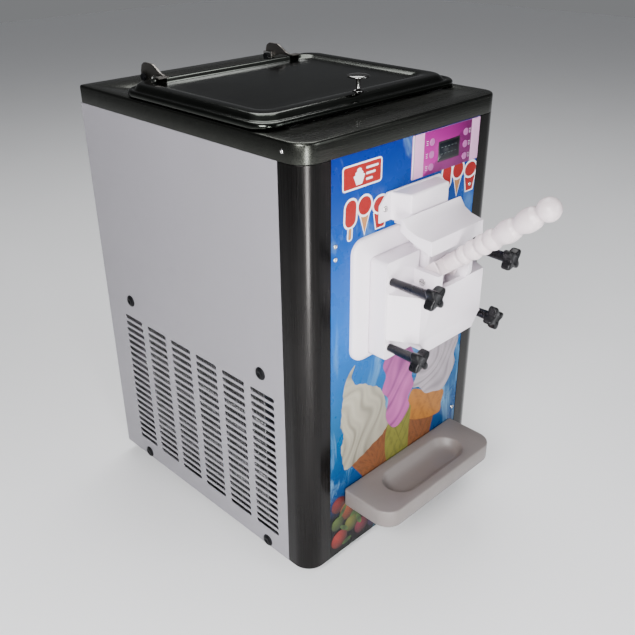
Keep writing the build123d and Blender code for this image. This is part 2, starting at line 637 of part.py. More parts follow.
export_step(switch_cover.part, "parts/switch_cover.step")

# ------------------------------------------------------------ drip tray
with BuildPart() as drip_tray:
    ymid = front_y - 1 - tray_d / 2
    with BuildSketch(Plane.XY.offset(tray_z)):
        with Locations((head_x, ymid)):
            Rectangle(tray_w, tray_d)
        fillet(vertices().group_by(Axis.Y)[0], 26)
        fillet(vertices().group_by(Axis.Y)[-1], 4)
    extrude(amount=tray_t)
    fillet(faces().sort_by(Axis.Z)[-1].edges(), 2.5)
    fillet(faces().sort_by(Axis.Z)[0].edges(), 1.5)
    with BuildSketch(Plane.XY.offset(tray_z + tray_t)):
        with Locations((head_x + 2, ymid - 1)):
            SlotOverall(176, 54)
    extrude(amount=-15, taper=32, mode=Mode.SUBTRACT)
    for side in (-1, 1):
        with BuildSketch(front_plane(front_y)):
            with Locations((head_x + side * tray_stud_dx, tray_stud_z - tray_lift / 2)):
                SlotOverall(tray_lift + 6.6, 6.6, rotation=90)
            with Locations((head_x + side * tray_stud_dx, tray_stud_z - tray_lift)):
                Circle(5.6)
        extrude(amount=12, mode=Mode.SUBTRACT)
        with BuildSketch(front_plane(front_y - 4.5)):
            with Locations((head_x + side * tray_stud_dx, tray_stud_z - tray_lift / 2)):
                SlotOverall(tray_lift + 11.2, 11.2, rotation=90)
        extrude(amount=7.5, mode=Mode.SUBTRACT)
drip_tray.part.label = "drip_tray"
export_step(drip_tray.part, "parts/drip_tray.step")

with BuildPart() as tray_studs:
    for side in (-1, 1):
        at = (head_x + side * tray_stud_dx, tray_stud_z)
        disc(front_plane(front_y + 8), at, 3.0, 14)
        disc(front_plane(front_y - 5.5), at, 5.0, 3)
        disc(front_plane(front_y + 8), at, 5.5, 4)
tray_studs.part.label = "tray_studs"
export_step(tray_studs.part, "parts/tray_studs.step")

# ============================================================== controls
with BuildPart() as control_panel:
    slab(front_plane(front_y + 0.4), (ctrl_x, ctrl_z), (ctrl_x1 - ctrl_x0, ctrl_z1 - ctrl_z0), 1.2, 1.5)
    with BuildSketch(front_plane(front_y + 1)):
        with Locations([(x, z) for x in button_xs for z in button_zs]):
            Circle(button_r + 0.3)
        with Locations((lcd_x, lcd_z)):
            Rectangle(lcd_w + 0.4, lcd_h + 0.4)
    extrude(amount=4, mode=Mode.SUBTRACT)
control_panel.part.label = "control_panel"
export_step(control_panel.part, "parts/control_panel.step")

with BuildPart() as display_window:
    slab(front_plane(front_y + 8), (lcd_x, lcd_z), (lcd_w, lcd_h), 9.0)
display_window.part.label = "display_window"
export_step(display_window.part, "parts/display_window.step")

for number, (x, z) in enumerate([(x, z) for x in button_xs for z in button_zs], 1):
    with BuildPart() as button:
        disc(front_plane(front_y + 6.5), (x, z), button_r - 1.2, 6.0)
        disc(front_plane(front_y + 0.7), (x, z), button_r, 2.4)
        fillet(faces().sort_by(Axis.Y)[0].edges(), 0.6)
    button.part.label = f"button_{number}"
    export_step(button.part, f"parts/button_{number}.step")

with BuildPart() as control_box:
    slab(front_plane(front_y + 58), (ctrl_x, ctrl_z), (124, 56), 50)
    slab(front_plane(front_y + 56), (ctrl_x, ctrl_z), (120, 52), 60, mode=Mode.SUBTRACT)
    slab(front_plane(front_y + 14), (ctrl_x, ctrl_z), (120, 52), 1.8)
control_box.part.label = "control_box"
export_step(control_box.part, "parts/control_box.step")

# ============================================================== cold side
with BuildPart() as freezing_cylinder:
    slab(front_plane(front_y + 10), (head_x, head_z), (plate_w + 12, plate_h - 6), 6, 6)
    disc(front_plane(cyl_front + cyl_len), (head_x, head_z), cyl_r + cyl_t, cyl_len)
    disc(front_plane(cyl_front + cyl_len - 6), (head_x, head_z), cyl_r, cyl_len, Mode.SUBTRACT)
    disc(front_plane(cyl_front + cyl_len + 1), (head_x, head_z), 9.5, 20, Mode.SUBTRACT)
    with BuildSketch(front_plane(front_y + 11)):
        with Locations((head_x, (stud_z_low + stud_z_high) / 2)):
            with GridLocations(2 * stud_dx, stud_z_high - stud_z_low, 2, 2):
                Circle(4.05)
    extrude(amount=20, mode=Mode.SUBTRACT)
    disc(Plane.XY.offset(head_z + cyl_r + 0.3), (head_x, feed_y), 11, 44.4)
    disc(Plane.XY.offset(head_z + cyl_r - 10), (head_x, feed_y), 9, 60, Mode.SUBTRACT)
freezing_cylinder.part.label = "freezing_cylinder"
export_step(freezing_cylinder.part, "parts/freezing_cylinder.step")

with BuildPart() as cylinder_jacket:
    disc(front_plane(cyl_front + cyl_len - 12), (head_x, head_z), cyl_r + cyl_t + 22, cyl_len - 30)
    disc(front_plane(cyl_front + cyl_len), (head_x, head_z), cyl_r + cyl_t + 0.3, cyl_len + 5, Mode.SUBTRACT)
    disc(Plane.XY.offset(head_z), (head_x, feed_y), 12, 90, Mode.SUBTRACT)
cylinder_jacket.part.label = "cylinder_jacket"
export_step(cylinder_jacket.part, "parts/cylinder_jacket.step")

# two scraper blades ride on a four-armed dasher
blade_r, bar_r = 44.6, 34.0
with BuildPart() as dasher:
    disc(front_plane(wall_y + 9), (head_x, head_z), 9.0, 9 + cyl_len - 16)
    for i in range(5):
        with BuildSketch(front_plane(cyl_front + 30 + i * 45)):
            with Locations((head_x, head_z)):
                Circle(13)
                SlotOverall(2 * bar_r + 10, 9)
                SlotOverall(2 * bar_r + 10, 9, rotation=90)
        extrude(amount=6)
    with BuildSketch(front_plane(cyl_front + cyl_len - 20)):
        with Locations((head_x, head_z)):
            with PolarLocations(bar_r, 2, start_angle=90):
                Circle(4)
            with PolarLocations(bar_r, 2):
                Circle(3)
    extrude(amount=cyl_len - 40)
dasher.part.label = "dasher"
export_step(dasher.part, "parts/dasher.step")

with BuildPart() as scraper_blades:
    with BuildSketch(front_plane(cyl_front + cyl_len - 38)):
        with Locations((head_x, head_z)):
            with PolarLocations((blade_r + bar_r + 5) / 2 + 0.3, 2, start_angle=90):
                Rectangle(blade_r - bar_r - 5.6, 16)
            Circle(blade_r, mode=Mode.INTERSECT)
    extrude(amount=cyl_len - 70)
scraper_blades.part.label = "scraper_blades"
export_step(scraper_blades.part, "parts/scraper_blades.step")

# ================================================================= drive
with BuildPart() as drive_bulkhead:
    wall_x = (wall_x0 + wall_x1) / 2
    slab(front_plane(wall_y + wall_t), (wall_x, foot_h + 251), (wall_x1 - wall_x0, 458), wall_t)
    disc(front_plane(wall_y + 5), (head_x, head_z), 14, 10, Mode.SUBTRACT)
    disc(front_plane(wall_y + 5), (head_x, motor_z), 16, 10, Mode.SUBTRACT)
    disc(front_plane(wall_y + 5), (comp_x + 30, head_z), 7, 10, Mode.SUBTRACT)
    slab(Plane.XY.offset(foot_h + 22), (wall_x, wall_y + 12), (wall_x1 - wall_x0, 24), wall_t)
drive_bulkhead.part.label = "drive_bulkhead"
export_step(drive_bulkhead.part, "parts/drive_bulkhead.step")

box_y0, box_y1 = wall_y + wall_t, pulley_y - 12.0
with BuildPart() as gearbox:
    slab(front_plane(box_y1), (head_x, head_z), (112, 112), box_y1 - box_y0, 14)
    fillet(faces().sort_by(Axis.Y)[-1].edges(), 6)
    for x in (-48, 48):
        slab(front_plane(box_y0 + 8), (head_x + x, head_z), (30, 134), 8, 5)
    disc(front_plane(box_y1 + 2), (head_x, head_z), 18, 8)
    disc(front_plane(box_y1 + 5), (head_x, head_z), 9.06, 90, Mode.SUBTRACT)
gearbox.part.label = "gearbox"
export_step(gearbox.part, "parts/gearbox.step")


def grooved_pulley(z, radius, shaft_r):
    """Belt pulley with one trapezoid groove, on its shaft."""
    disc(front_plane(pulley_y + pulley_t / 2), (head_x, z), radius, pulley_t)
    half = belt_w / 2
    with BuildSketch(Plane.YZ.offset(head_x)) as groove:
        with BuildLine():
            Polyline((pulley_y - half, z + radius + 1), (pulley_y + half, z + radius + 1),
                     (pulley_y + half - 2.5, z + radius - 6), (pulley_y - half + 2.5, z + radius - 6),
                     (pulley_y - half, z + radius + 1))
        make_face()
    revolve(groove.sketch, axis=Axis((head_x, 0, z), (0, 1, 0)), mode=Mode.SUBTRACT)
    disc(front_plane(pulley_y + pulley_t / 2 + 4), (head_x, z), shaft_r, pulley_t + 38)


with BuildPart() as gearbox_pulley:
    grooved_pulley(head_z, big_r, 9.0)
    with BuildSketch(front_plane(pulley_y + pulley_t)):
        with Locations((head_x, head_z)):
            with PolarLocations(28, 5):
                Circle(8.5)
    extrude(amount=2 * pulley_t - 2, mode=Mode.SUBTRACT)
gearbox_pulley.part.label = "gearbox_pulley"
export_step(gearbox_pulley.part, "parts/gearbox_pulley.step")

with BuildPart() as motor_pulley:
    grooved_pulley(motor_z, small_r, 8.0)
motor_pulley.part.label = "motor_pulley"
export_step(motor_pulley.part, "parts/motor_pulley.step")

with BuildPart() as drive_belt:
    with BuildSketch(front_plane(pulley_y + 3.5)):
        with Locations((head_x, head_z)):
            Circle(big_r)
        with Locations((head_x, motor_z)):
            Circle(small_r)
        make_hull()
        offset(amount=-belt_t, mode=Mode.SUBTRACT)
    extrude(amount=7)
drive_belt.part.label = "drive_belt"
export_step(drive_belt.part, "parts/drive_belt.step")

with BuildPart() as beater_motor:
    disc(front_plane(box_y1), (head_x, motor_z), motor_r, box_y1 - box_y0)
    fillet(edges().filter_by(GeomType.CIRCLE), 5)
    with BuildSketch(front_plane(box_y1 - 10)):
        with Locations((head_x, motor_z)):
            with PolarLocations(motor_r, 24):
                Rectangle(7, 2.4)
    extrude(amount=box_y1 - box_y0 - 20)
    slab(front_plane(box_y0 + 6), (head_x, motor_z - 8), (120, 100), 6, 8)
    disc(front_plane(box_y1 + 2), (head_x, motor_z), 16, 6)
    disc(front_plane(box_y1 + 5), (head_x, motor_z), 8.06, 40, Mode.SUBTRACT)
beater_motor.part.label = "beater_motor"
export_step(beater_motor.part, "parts/beater_motor.step")

# ========================================================== refrigeration
floor_z = foot_h + 2.0
with BuildPart() as compressor:
    slab(Plane.XY.offset(floor_z + 12), (comp_x, comp_y), (150, 116), 3, 10)
    with Locations((comp_x, comp_y, floor_z + 6)):
        with GridLocations(124, 92, 2, 2):
            Cylinder(8, 12)
    disc(Plane.XY.offset(floor_z + 14), (comp_x, comp_y), comp_r, comp_h)
    rims = edges().filter_by(GeomType.CIRCLE).filter_by(lambda e: e.radius > comp_r - 1)
    fillet(rims.sort_by(Axis.Z)[-1], 30)
    disc(Plane.XY.offset(floor_z + 88), (comp_x, comp_y), comp_r + 2.5, 7)
    slab(Plane.YZ.offset(comp_x - comp_r - 18), (comp_y, floor_z + 98), (56, 70), 30, 6)
compressor.part.label = "compressor"
export_step(compressor.part, "parts/compressor.step")

fin_count = 46
with BuildPart() as condenser:
    cond_z = foot_h + 24 + cond_h / 2
    for end in (-1, 1):
        end_plane = Plane.XZ.offset(-(slots_mid_y + end * cond_w / 2))
        slab(end_plane, (cond_x, cond_z), (cond_t, cond_h), -end * 1.5)
    with BuildSketch(front_plane(slots_mid_y + cond_w / 2)):
        with Locations((cond_x, cond_z)):
            with GridLocations(17, 32, 2, 8):
                Circle(4)
    extrude(amount=cond_w)
    with Locations((cond_x, slots_mid_y, cond_z)):
        with GridLocations(1, cond_w / (fin_count + 1), 1, fin_count):
            Box(cond_t - 2, 0.8, cond_h - 6)
condenser.part.label = "condenser"
export_step(condenser.part, "parts/condenser.step")

shroud_x = cond_x + cond_t / 2 + 0.5
with BuildPart() as fan_shroud:
    slab(Plane.YZ.offset(shroud_x), (slots_mid_y, cond_z), (cond_w, cond_h), 2)
    disc(Plane.YZ.offset(shroud_x), (fan_y, fan_z), fan_r + 5, 38)
    disc(Plane.YZ.offset(shroud_x - 5), (fan_y, fan_z), fan_r + 3, 60, Mode.SUBTRACT)
    with BuildSketch(Plane.YZ.offset(shroud_x + 36)):
        with Locations((fan_y, fan_z)):
            Circle(fan_r + 5)
            Circle(fan_r + 2.5, mode=Mode.SUBTRACT)
            with PolarLocations(0, 3, start_angle=30):
                Rectangle(2 * fan_r + 8, 7)
            Circle(30)
    extrude(amount=2)
    disc(Plane.YZ.offset(shroud_x + 30), (fan_y, fan_z), 5.2, 20, Mode.SUBTRACT)
fan_shroud.part.label = "fan_shroud"
export_step(fan_shroud.part, "parts/fan_shroud.step")

with BuildPart() as fan_motor:
    disc(Plane.YZ.offset(shroud_x + 38), (fan_y, fan_z), 29, 34)
    fillet(edges().filter_by(GeomType.CIRCLE).group_by(Axis.X)[-1], 6)
    disc(Plane.YZ.offset(shroud_x + 37), (fan_y, fan_z), 4.06, 20, Mode.SUBTRACT)
fan_motor.part.label = "fan_motor"
export_step(fan_motor.part, "parts/fan_motor.step")

with BuildPart() as fan_blades:
    disc(Plane.YZ.offset(shroud_x + 9), (fan_y, fan_z), 26, 20)
    disc(Plane.YZ.offset(shroud_x + 20), (fan_y, fan_z), 4.0, 34)
    for i in range(5):
        swing = radians(i * 72)
        blade_at = Plane(origin=(shroud_x + 19, fan_y + 22 * cos(swing), fan_z + 22 * sin(swing)),
                         x_dir=(0, -sin(swing), cos(swing)), z_dir=(0, cos(swing), sin(swing)))
        with BuildSketch(blade_at):
            Rectangle(40, 2, rotation=24)
        with BuildSketch(blade_at.offset(fan_r - 24)):
            Rectangle(64, 2, rotation=15)
        loft()
    disc(Plane.YZ.offset(shroud_x + 4), (fan_y, fan_z), fan_r, 30, Mode.INTERSECT)
fan_blades.part.label = "fan_blades"
export_step(fan_blades.part, "parts/fan_blades.step")

pipe_r = 4.0
comp_top = floor_z + 14 + comp_h + 0.5
pipe_z = foot_h + 222
discharge = [(comp_x - 30, comp_y - 30, comp_top), (comp_x - 30, comp_y - 30, comp_top + 26),
             (comp_x - 90, comp_y + 40, comp_top + 26), (cond_x + 40, comp_y + 40, pipe_z),
             (cond_x + 9, comp_y + 40, pipe_z), (cond_x + 9, slots_mid_y + cond_w / 2 + 2, pipe_z)]
suction = [(comp_x + 30, comp_y - 30, comp_top), (comp_x + 30, comp_y - 30, head_z),
           (comp_x + 30, wall_y - 30, head_z), (head_x + cyl_r + cyl_t + 22.6, wall_y - 30, head_z)]
with BuildPart() as refrigerant_pipes:
    for route in (discharge, suction):
        with BuildLine() as path:
            FilletPolyline(*route, radius=12)
        with BuildSketch(Plane(origin=path.line @ 0, z_dir=path.line % 0)):
            Circle(pipe_r)
        sweep(path=path.line)
refrigerant_pipes.part.label = "refrigerant_pipes"
export_step(refrigerant_pipes.part, "parts/refrigerant_pipes.step")
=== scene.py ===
"""Soft serve machine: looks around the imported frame, in metres, front towards -Y."""
import json
from math import cos, hypot, pi, radians, sin

import bmesh
import bpy
from mathutils import Matrix, Vector


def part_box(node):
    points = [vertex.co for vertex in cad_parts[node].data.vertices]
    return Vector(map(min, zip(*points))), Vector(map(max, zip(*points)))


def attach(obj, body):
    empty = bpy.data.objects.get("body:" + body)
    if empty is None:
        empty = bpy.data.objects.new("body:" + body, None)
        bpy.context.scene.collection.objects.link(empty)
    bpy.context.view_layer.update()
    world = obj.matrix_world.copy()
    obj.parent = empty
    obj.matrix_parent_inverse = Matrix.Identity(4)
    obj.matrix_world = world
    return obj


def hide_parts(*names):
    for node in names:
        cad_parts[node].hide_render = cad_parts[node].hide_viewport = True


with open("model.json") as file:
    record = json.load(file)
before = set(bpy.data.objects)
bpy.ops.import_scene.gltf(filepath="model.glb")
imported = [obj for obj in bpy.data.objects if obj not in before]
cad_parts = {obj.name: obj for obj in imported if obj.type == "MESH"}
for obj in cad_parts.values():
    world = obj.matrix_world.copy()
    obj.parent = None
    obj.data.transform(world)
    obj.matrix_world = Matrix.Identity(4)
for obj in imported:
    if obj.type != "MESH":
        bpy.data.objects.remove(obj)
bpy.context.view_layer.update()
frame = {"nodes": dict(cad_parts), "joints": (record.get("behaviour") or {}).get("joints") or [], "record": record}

MM = 0.001
HEAD_X = (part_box("valve_block")[0].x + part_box("valve_block")[1].x) / 2
GRIP_TILT = radians(39.1)  # the lever's rise at rest
JOINTS = {j["name"]: j for j in frame["joints"]}
BODY_OF = {n: b for b, ns in frame["record"]["behaviour"]["bodies"].items() for n in ns}
SLOT_OF = {s["node"]: s["material_slot"] for s in frame["record"]["subparts"]}


# ------------------------------------------------------------------ materials
class Shader:
    """A node material with short calls for the nodes it is made of."""

    def __init__(self, name, color, roughness, metallic=0.0, **sockets):
        self.mat = bpy.data.materials.new(name)
        self.mat.use_nodes = True
        self.tree = self.mat.node_tree
        self.bsdf = self.tree.nodes["Principled BSDF"]
        self.bsdf.inputs["Base Color"].default_value = (*color, 1)
        self.bsdf.inputs["Roughness"].default_value = roughness
        self.bsdf.inputs["Metallic"].default_value = metallic
        for key, value in sockets.items():
            self.bsdf.inputs[key.replace("_", " ")].default_value = value

    def node(self, kind, links=(), **settings):
        made = self.tree.nodes.new(kind)
        for key, value in settings.items():
            if hasattr(made, key):
                setattr(made, key, value)
            else:
                made.inputs[key.replace("_", " ")].default_value = value
        for socket, source in dict(links).items():
            self.tree.links.new(source, made.inputs[socket])
        return made

    def position(self, scale=(1, 1, 1), turn=(0, 0, 0)):
        """Object position, stretched and turned; every mesh holds its place in the frame."""
        coords = self.tree.nodes.new("ShaderNodeTexCoord")
        mapping = self.node("ShaderNodeMapping", {"Vector": coords.outputs["Object"]})
        mapping.inputs["Scale"].default_value = scale
        mapping.inputs["Rotation"].default_value = turn
        return mapping.outputs["Vector"]

    def noise(self, scale, detail=3.0, rough=0.5, stretch=(1, 1, 1)):
        made = self.node("ShaderNodeTexNoise", {"Vector": self.position(stretch)}, Scale=scale, Detail=detail,
                         Roughness=rough)
        return made.outputs["Fac"]

    def span(self, source, low, high, from_low=0.3, from_high=0.7):
        """A factor carried from one range to another."""
        made = self.tree.nodes.new("ShaderNodeMapRange")
        self.tree.links.new(source, made.inputs["Value"])
        limits = {"From Min": from_low, "From Max": from_high, "To Min": low, "To Max": high}
        for key, value in limits.items():
            made.inputs[key].default_value = value
        return made.outputs["Result"]

    def ramp(self, source, stops):
        made = self.tree.nodes.new("ShaderNodeValToRGB")
        self.tree.links.new(source, made.inputs["Fac"])
        elements = made.color_ramp.elements
        while len(elements) < len(stops):
            elements.new(0.5)
        for element, (place, color) in zip(elements, stops):
            element.position = place
            element.color = (*color, 1)
        return made.outputs["Color"]

    def mix(self, factor, a, b):
        """Colour a carried towards colour b; the mix node's colour sockets are 6, 7 and output 2."""
        made = self.tree.nodes.new("ShaderNodeMix")
        made.data_type = "RGBA"
        for value, key in ((factor, 0), (a, 6), (b, 7)):
            if isinstance(value, bpy.types.NodeSocket):
                self.tree.links.new(value, made.inputs[key])
            elif key == 0:
                made.inputs[key].default_value = value
            else:
                made.inputs[key].default_value = (*value, 1)
        return made.outputs[2]

    def math(self, operation, a, b):
        made = self.tree.nodes.new("ShaderNodeMath")
        made.operation = operation
        for value, socket in zip((a, b), made.inputs):
            if isinstance(value, bpy.types.NodeSocket):
                self.tree.links.new(value, socket)
            else:
                socket.default_value = value
        return made.outputs[0]

    def color(self, source):
        self.tree.links.new(source, self.bsdf.inputs["Base Color"])

    def roughness(self, source):
        self.tree.links.new(source, self.bsdf.inputs["Roughness"])

    def bump(self, source, strength, distance):
        made = self.tree.nodes.new("ShaderNodeBump")
        made.inputs["Strength"].default_value = strength
        made.inputs["Distance"].default_value = distance
        self.tree.links.new(source, made.inputs["Height"])
        self.tree.links.new(made.outputs["Normal"], self.bsdf.inputs["Normal"])


def brushed(name, color, roughness, stretch, grain=1.0, smudge=0.25):
    """Stainless sheet with a long fine grain and soft handling marks."""
    s = Shader(name, color, roughness, 1.0)
    fine = s.noise(900, 2.0, 0.6, stretch)
    broad = s.noise(60, 3.0, 0.5, stretch)
    marks = s.noise(9, 4.0, 0.6)
    dark = tuple(c * (1 - smudge) for c in color)
    lit = tuple(min(1, c * (1 + smudge)) for c in color)
    tone = s.mix(s.span(fine, 0, 1), dark, lit)
    tone = s.mix(s.span(broad, 0, 0.5), tone, lit)
    s.color(s.mix(s.span(marks, 0.0, 0.45, 0.45, 0.75), tone, dark))
    s.roughness(s.math("ADD", s.span(fine, roughness * 0.75, roughness * 1.25), s.span(marks, 0.0, 0.10)))
    s.bump(fine, 0.10 * grain, 0.0002)
    return s.mat


def moulded(name, color, roughness, wear=0.04, grain=0.05, **sockets):
    """Moulded or machined plastic: fine skin texture and faint tone changes."""
    s = Shader(name, color, roughness, 0.0, **sockets)
    broad = s.noise(14, 3.0)
    skin = s.noise(1400, 2.0, 0.7)
    dust = s.noise(70, 4.0, 0.7)
    shade = tuple(c * (1 - wear) for c in color)
    tone = s.mix(s.span(broad, 0, 1), color, shade)
    s.color(s.mix(s.span(dust, 0, 0.5, 0.55, 0.8), tone, tuple(c * (1 - 2 * wear) for c in color)))
    s.roughness(s.span(dust, roughness * 0.88, min(1, roughness * 1.15)))
    s.bump(skin, grain, 0.0002)
    return s.mat


def painted(name, color, roughness, peel=0.12, wear=0.05, **sockets):
    """Sprayed or powder paint: orange peel, faint dirt, tone changes."""
    s = Shader(name, color, roughness, 0.0, **sockets)
    peel_noise = s.noise(420, 2.0, 0.55)
    broad = s.noise(3.5, 3.0)
    dirt = s.noise(22, 6.0, 0.75)
    shade = tuple(c * (1 - wear) for c in color)
    tone = s.mix(s.span(broad, 0, 1), color, shade)
    s.color(s.mix(s.span(dirt, 0, 0.6, 0.6, 0.85), tone, tuple(c * (1 - 3 * wear) for c in color)))
    s.roughness(s.span(dirt, roughness * 0.9, min(1, roughness * 1.2)))
    s.bump(peel_noise, peel, 0.0003)
    return s.mat


def metal(name, color, roughness, grain=220, depth=0.08):
    """Turned or cast metal with uneven polish."""
    s = Shader(name, color, roughness, 1.0)
    spots = s.noise(grain, 3.0, 0.6)
    broad = s.noise(18, 3.0)
    s.color(s.mix(s.span(broad, 0, 0.6), color, tuple(c * 0.8 for c in color)))
    s.roughness(s.span(spots, roughness * 0.8, min(1, roughness * 1.3)))
    s.bump(spots, depth, 0.0003)
    return s.mat


LOOKS = {
    "brushed_steel": brushed("post_steel", (0.021, 0.020, 0.0195), 0.19, (1, 1, 0.012)),
    "top_steel": brushed("top_steel", (0.047, 0.049, 0.043), 0.22, (0.012, 1, 1), 0.6),
    "mirror_steel": brushed("mirror_steel", (0.043, 0.047, 0.041), 0.10, (0.03, 1, 1), 0.4, 0.55),
    "tub_steel": brushed("tub_steel", (0.50, 0.50, 0.48), 0.26, (1, 0.02, 1), 0.4),
    "ear_steel": metal("ear_steel", (0.15, 0.14, 0.13), 0.34),
    "knob_steel": metal("knob_steel", (0.22, 0.22, 0.21), 0.16, 300, 0.03),
    "galvanised_sheet": metal("galvanised", (0.42, 0.43, 0.44), 0.42, 60, 0.05),
    "bright_steel": metal("bright_steel", (0.62, 0.61, 0.60), 0.20),
    "chrome_trim": metal("chrome", (0.70, 0.69, 0.68), 0.12, 300, 0.03),
    "side_paint": painted("side_paint", (0.245, 0.235, 0.26), 0.40, 0.10, 0.06),
    "white_plastic": moulded("white_plastic", (0.83, 0.765, 0.825), 0.36),
    "handle_plastic": moulded("handle_plastic", (0.66, 0.57, 0.59), 0.30),
    # painted shade: the white drip tray is given a dark grey base colour that stands for the head's shadow on it
    "tray_plastic": moulded("tray_plastic", (0.15, 0.131, 0.124), 0.42),
    "knob_plastic": moulded("knob_plastic", (0.006, 0.006, 0.007), 0.28, grain=0.08, Specular_IOR_Level=0.22),
    "black_plastic": moulded("black_plastic", (0.015, 0.015, 0.017), 0.42, grain=0.12),
    "screw_black": moulded("screw_black", (0.004, 0.004, 0.005), 0.42, grain=0.04, Specular_IOR_Level=0.12),
    "button_rubber": moulded("button_rubber", (0.34, 0.09, 0.28), 0.55),
    "fan_plastic": moulded("fan_plastic", (0.02, 0.02, 0.02), 0.5),
    "black_rubber": moulded("black_rubber", (0.015, 0.015, 0.015), 0.75, grain=0.3),
    "insulation": moulded("insulation", (0.03, 0.03, 0.03), 0.9, grain=0.6),
    "cast_aluminium": metal("cast_aluminium", (0.45, 0.45, 0.45), 0.5, 500, 0.3),
    "fin_aluminium": metal("fin_aluminium", (0.55, 0.55, 0.56), 0.35),
    "cast_iron": metal("cast_iron", (0.10, 0.10, 0.10), 0.55, 500, 0.3),
    "motor_paint": painted("motor_paint", (0.05, 0.07, 0.12), 0.4),
    "compressor_paint": painted("compressor_paint", (0.008, 0.008, 0.009), 0.25),
    "copper": metal("copper", (0.72, 0.36, 0.22), 0.28),
    "panel_film": painted("panel_film", (0.62, 0.33, 0.54), 0.3, 0.02),
    "display_glass": painted("display_glass", (0.006, 0.008, 0.012), 0.35, 0.01, Specular_IOR_Level=0.2),
}


def front_print():
    """The printed front: royal blue above, sky blue below, with a white spray of milk in waves."""
    s = Shader("front_print", (0.1, 0.3, 0.7), 0.30, 0.0, Specular_IOR_Level=0.12)
    low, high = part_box("front_panel")
    coords = s.tree.nodes.new("ShaderNodeTexCoord")
    parts = s.node("ShaderNodeSeparateXYZ", {"Vector": coords.outputs["Object"]})
    height = s.span(parts.outputs["Z"], 0, 1, low.z, high.z)
    sky = s.ramp(height, [(0.0, (0.002, 0.002, 0.002)), (0.12, (0.002, 0.002, 0.004)),
                          (0.19, (0.001, 0.026, 0.10)), (0.38, (0.001, 0.068, 0.185)),
                          (0.62, (0.001, 0.09, 0.36)), (1.0, (0.001, 0.013, 0.17))])
    slanted = s.position((1, 1, 0.45), (0, 0.5, 0))
    wave = s.node("ShaderNodeTexNoise", {"Vector": slanted}, Scale=11.0, Detail=5.0, Roughness=0.62,
                  Distortion=1.6)
    spray = s.ramp(wave.outputs["Fac"], [(0.54, (0, 0, 0)), (0.63, (0.35, 0.35, 0.35)), (0.72, (1, 1, 1))])
    s.color(s.mix(s.math("MULTIPLY", spray, 0.7), sky, (0.22, 0.46, 0.64)))
    s.bump(s.noise(900, 2.0), 0.03, 0.0002)
    s.roughness(s.span(s.noise(40, 4.0), 0.22, 0.36))
    return s.mat


LOOKS["front_graphic"] = front_print()


# ------------------------------------------------------------------ mesh tools
def give(obj, look):
    """One material in every slot of the piece."""
    material = LOOKS[look]
    if not obj.data.materials:
        obj.data.materials.append(material)
    for i in range(len(obj.data.materials)):
        obj.data.materials[i] = material


def piece(obj, body, slot, look=None, nodes=()):
    """Finish a new piece: its material (the look, or else the record slot's own), its body and the CAD nodes it
    stands for, which are hidden.
    """
    give(obj, look or slot)
    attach(obj, body)
    if nodes:
        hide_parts(*nodes)


def node_mesh(node):
    """A copy of a CAD node's mesh with its corners welded."""
    bm = bmesh.new()
    bm.from_mesh(frame["nodes"][node].data)
    bmesh.ops.remove_doubles(bm, verts=bm.verts, dist=0.00001)
    return bm


def from_bmesh(bm, name, smooth=True):
    """A new object from a mesh under work, which is freed."""
    bmesh.ops.recalc_face_normals(bm, faces=bm.faces)
    mesh = bpy.data.meshes.new(name)
    bm.to_mesh(mesh)
    bm.free()
    obj = bpy.data.objects.new(name, mesh)
    bpy.context.scene.collection.objects.link(obj)
    if smooth:
        mesh.shade_smooth()
    return obj


def bevel(obj, width, segments=3, angle=30):
    """Rounded edges with even highlights."""
    rounded = obj.modifiers.new("edges", "BEVEL")
    rounded.width = width * MM
    rounded.segments = segments
    rounded.limit_method = "ANGLE"
    rounded.angle_limit = radians(angle)
    rounded.harden_normals = True
    rounded.miter_outer = "MITER_ARC"
    return obj


def joined(name, loops, cap_start=True, cap_end=True):
    """Skin over a list of loops with the same number of points, in mm."""
    bm = bmesh.new()
    rows = [[bm.verts.new(Vector(p) * MM) for p in loop] for loop in loops]
    count = len(rows[0])
    for a, b in zip(rows, rows[1:]):
        for i in range(count):
            j = (i + 1) % count
            bm.faces.new((a[i], a[j], b[j], b[i]))
    if cap_start:
        bm.faces.new(rows[0])
    if cap_end:
        bm.faces.new(rows[-1])
    return from_bmesh(bm, name)


def lathe(name, profile, origin, axis, segments=64):
    """Turn a profile of (radius, height) in mm about an axis; radius 0 closes an end."""
    bm = bmesh.new()
    axis = Vector(axis).normalized()
    side = axis.orthogonal().normalized()
    other = axis.cross(side)
    origin = Vector(origin)
    rows = []
    for radius, height in profile:
        centre = origin + axis * height
        if radius == 0:
            rows.append([bm.verts.new(centre * MM)])
            continue
        rows.append([bm.verts.new((centre + (side * cos(t) + other * sin(t)) * radius) * MM)
                     for t in (2 * pi * i / segments for i in range(segments))])
    for a, b in zip(rows, rows[1:]):
        for i in range(segments):
            j = (i + 1) % segments
            corners = [a[i % len(a)], a[j % len(a)], b[j % len(b)], b[i % len(b)]]
            corners = list(dict.fromkeys(corners))
            if len(corners) > 2:
                bm.faces.new(corners)
    return from_bmesh(bm, name)


def round_box(w, h, r, steps=8, centre=(0, 0)):
    """Loop of a rounded rectangle in mm, anticlockwise; r is one radius or four from the lower right."""
    radii = r if isinstance(r, (list, tuple)) else (r,) * 4
    points = []
    for k, (sx, sy, rad) in enumerate(zip((1, 1, -1, -1), (-1, 1, 1, -1), radii)):
        cx, cy = centre[0] + sx * (w / 2 - rad), centre[1] + sy * (h / 2 - rad)
        start = -pi / 2 + k * pi / 2
        for i in range(steps + 1):
            t = start + (pi / 2) * i / steps
            points.append((cx + rad * cos(t), cy + rad * sin(t)))
    return points


def bevelled(node, width):
    """The shape of a CAD node as a clean mesh with rounded edges."""
    bm = node_mesh(node)
    bmesh.ops.dissolve_limit(bm, angle_limit=radians(0.6), verts=bm.verts, edges=bm.edges, delimit={"NORMAL"})
    return bevel(from_bmesh(bm, node + "_shell"), width)


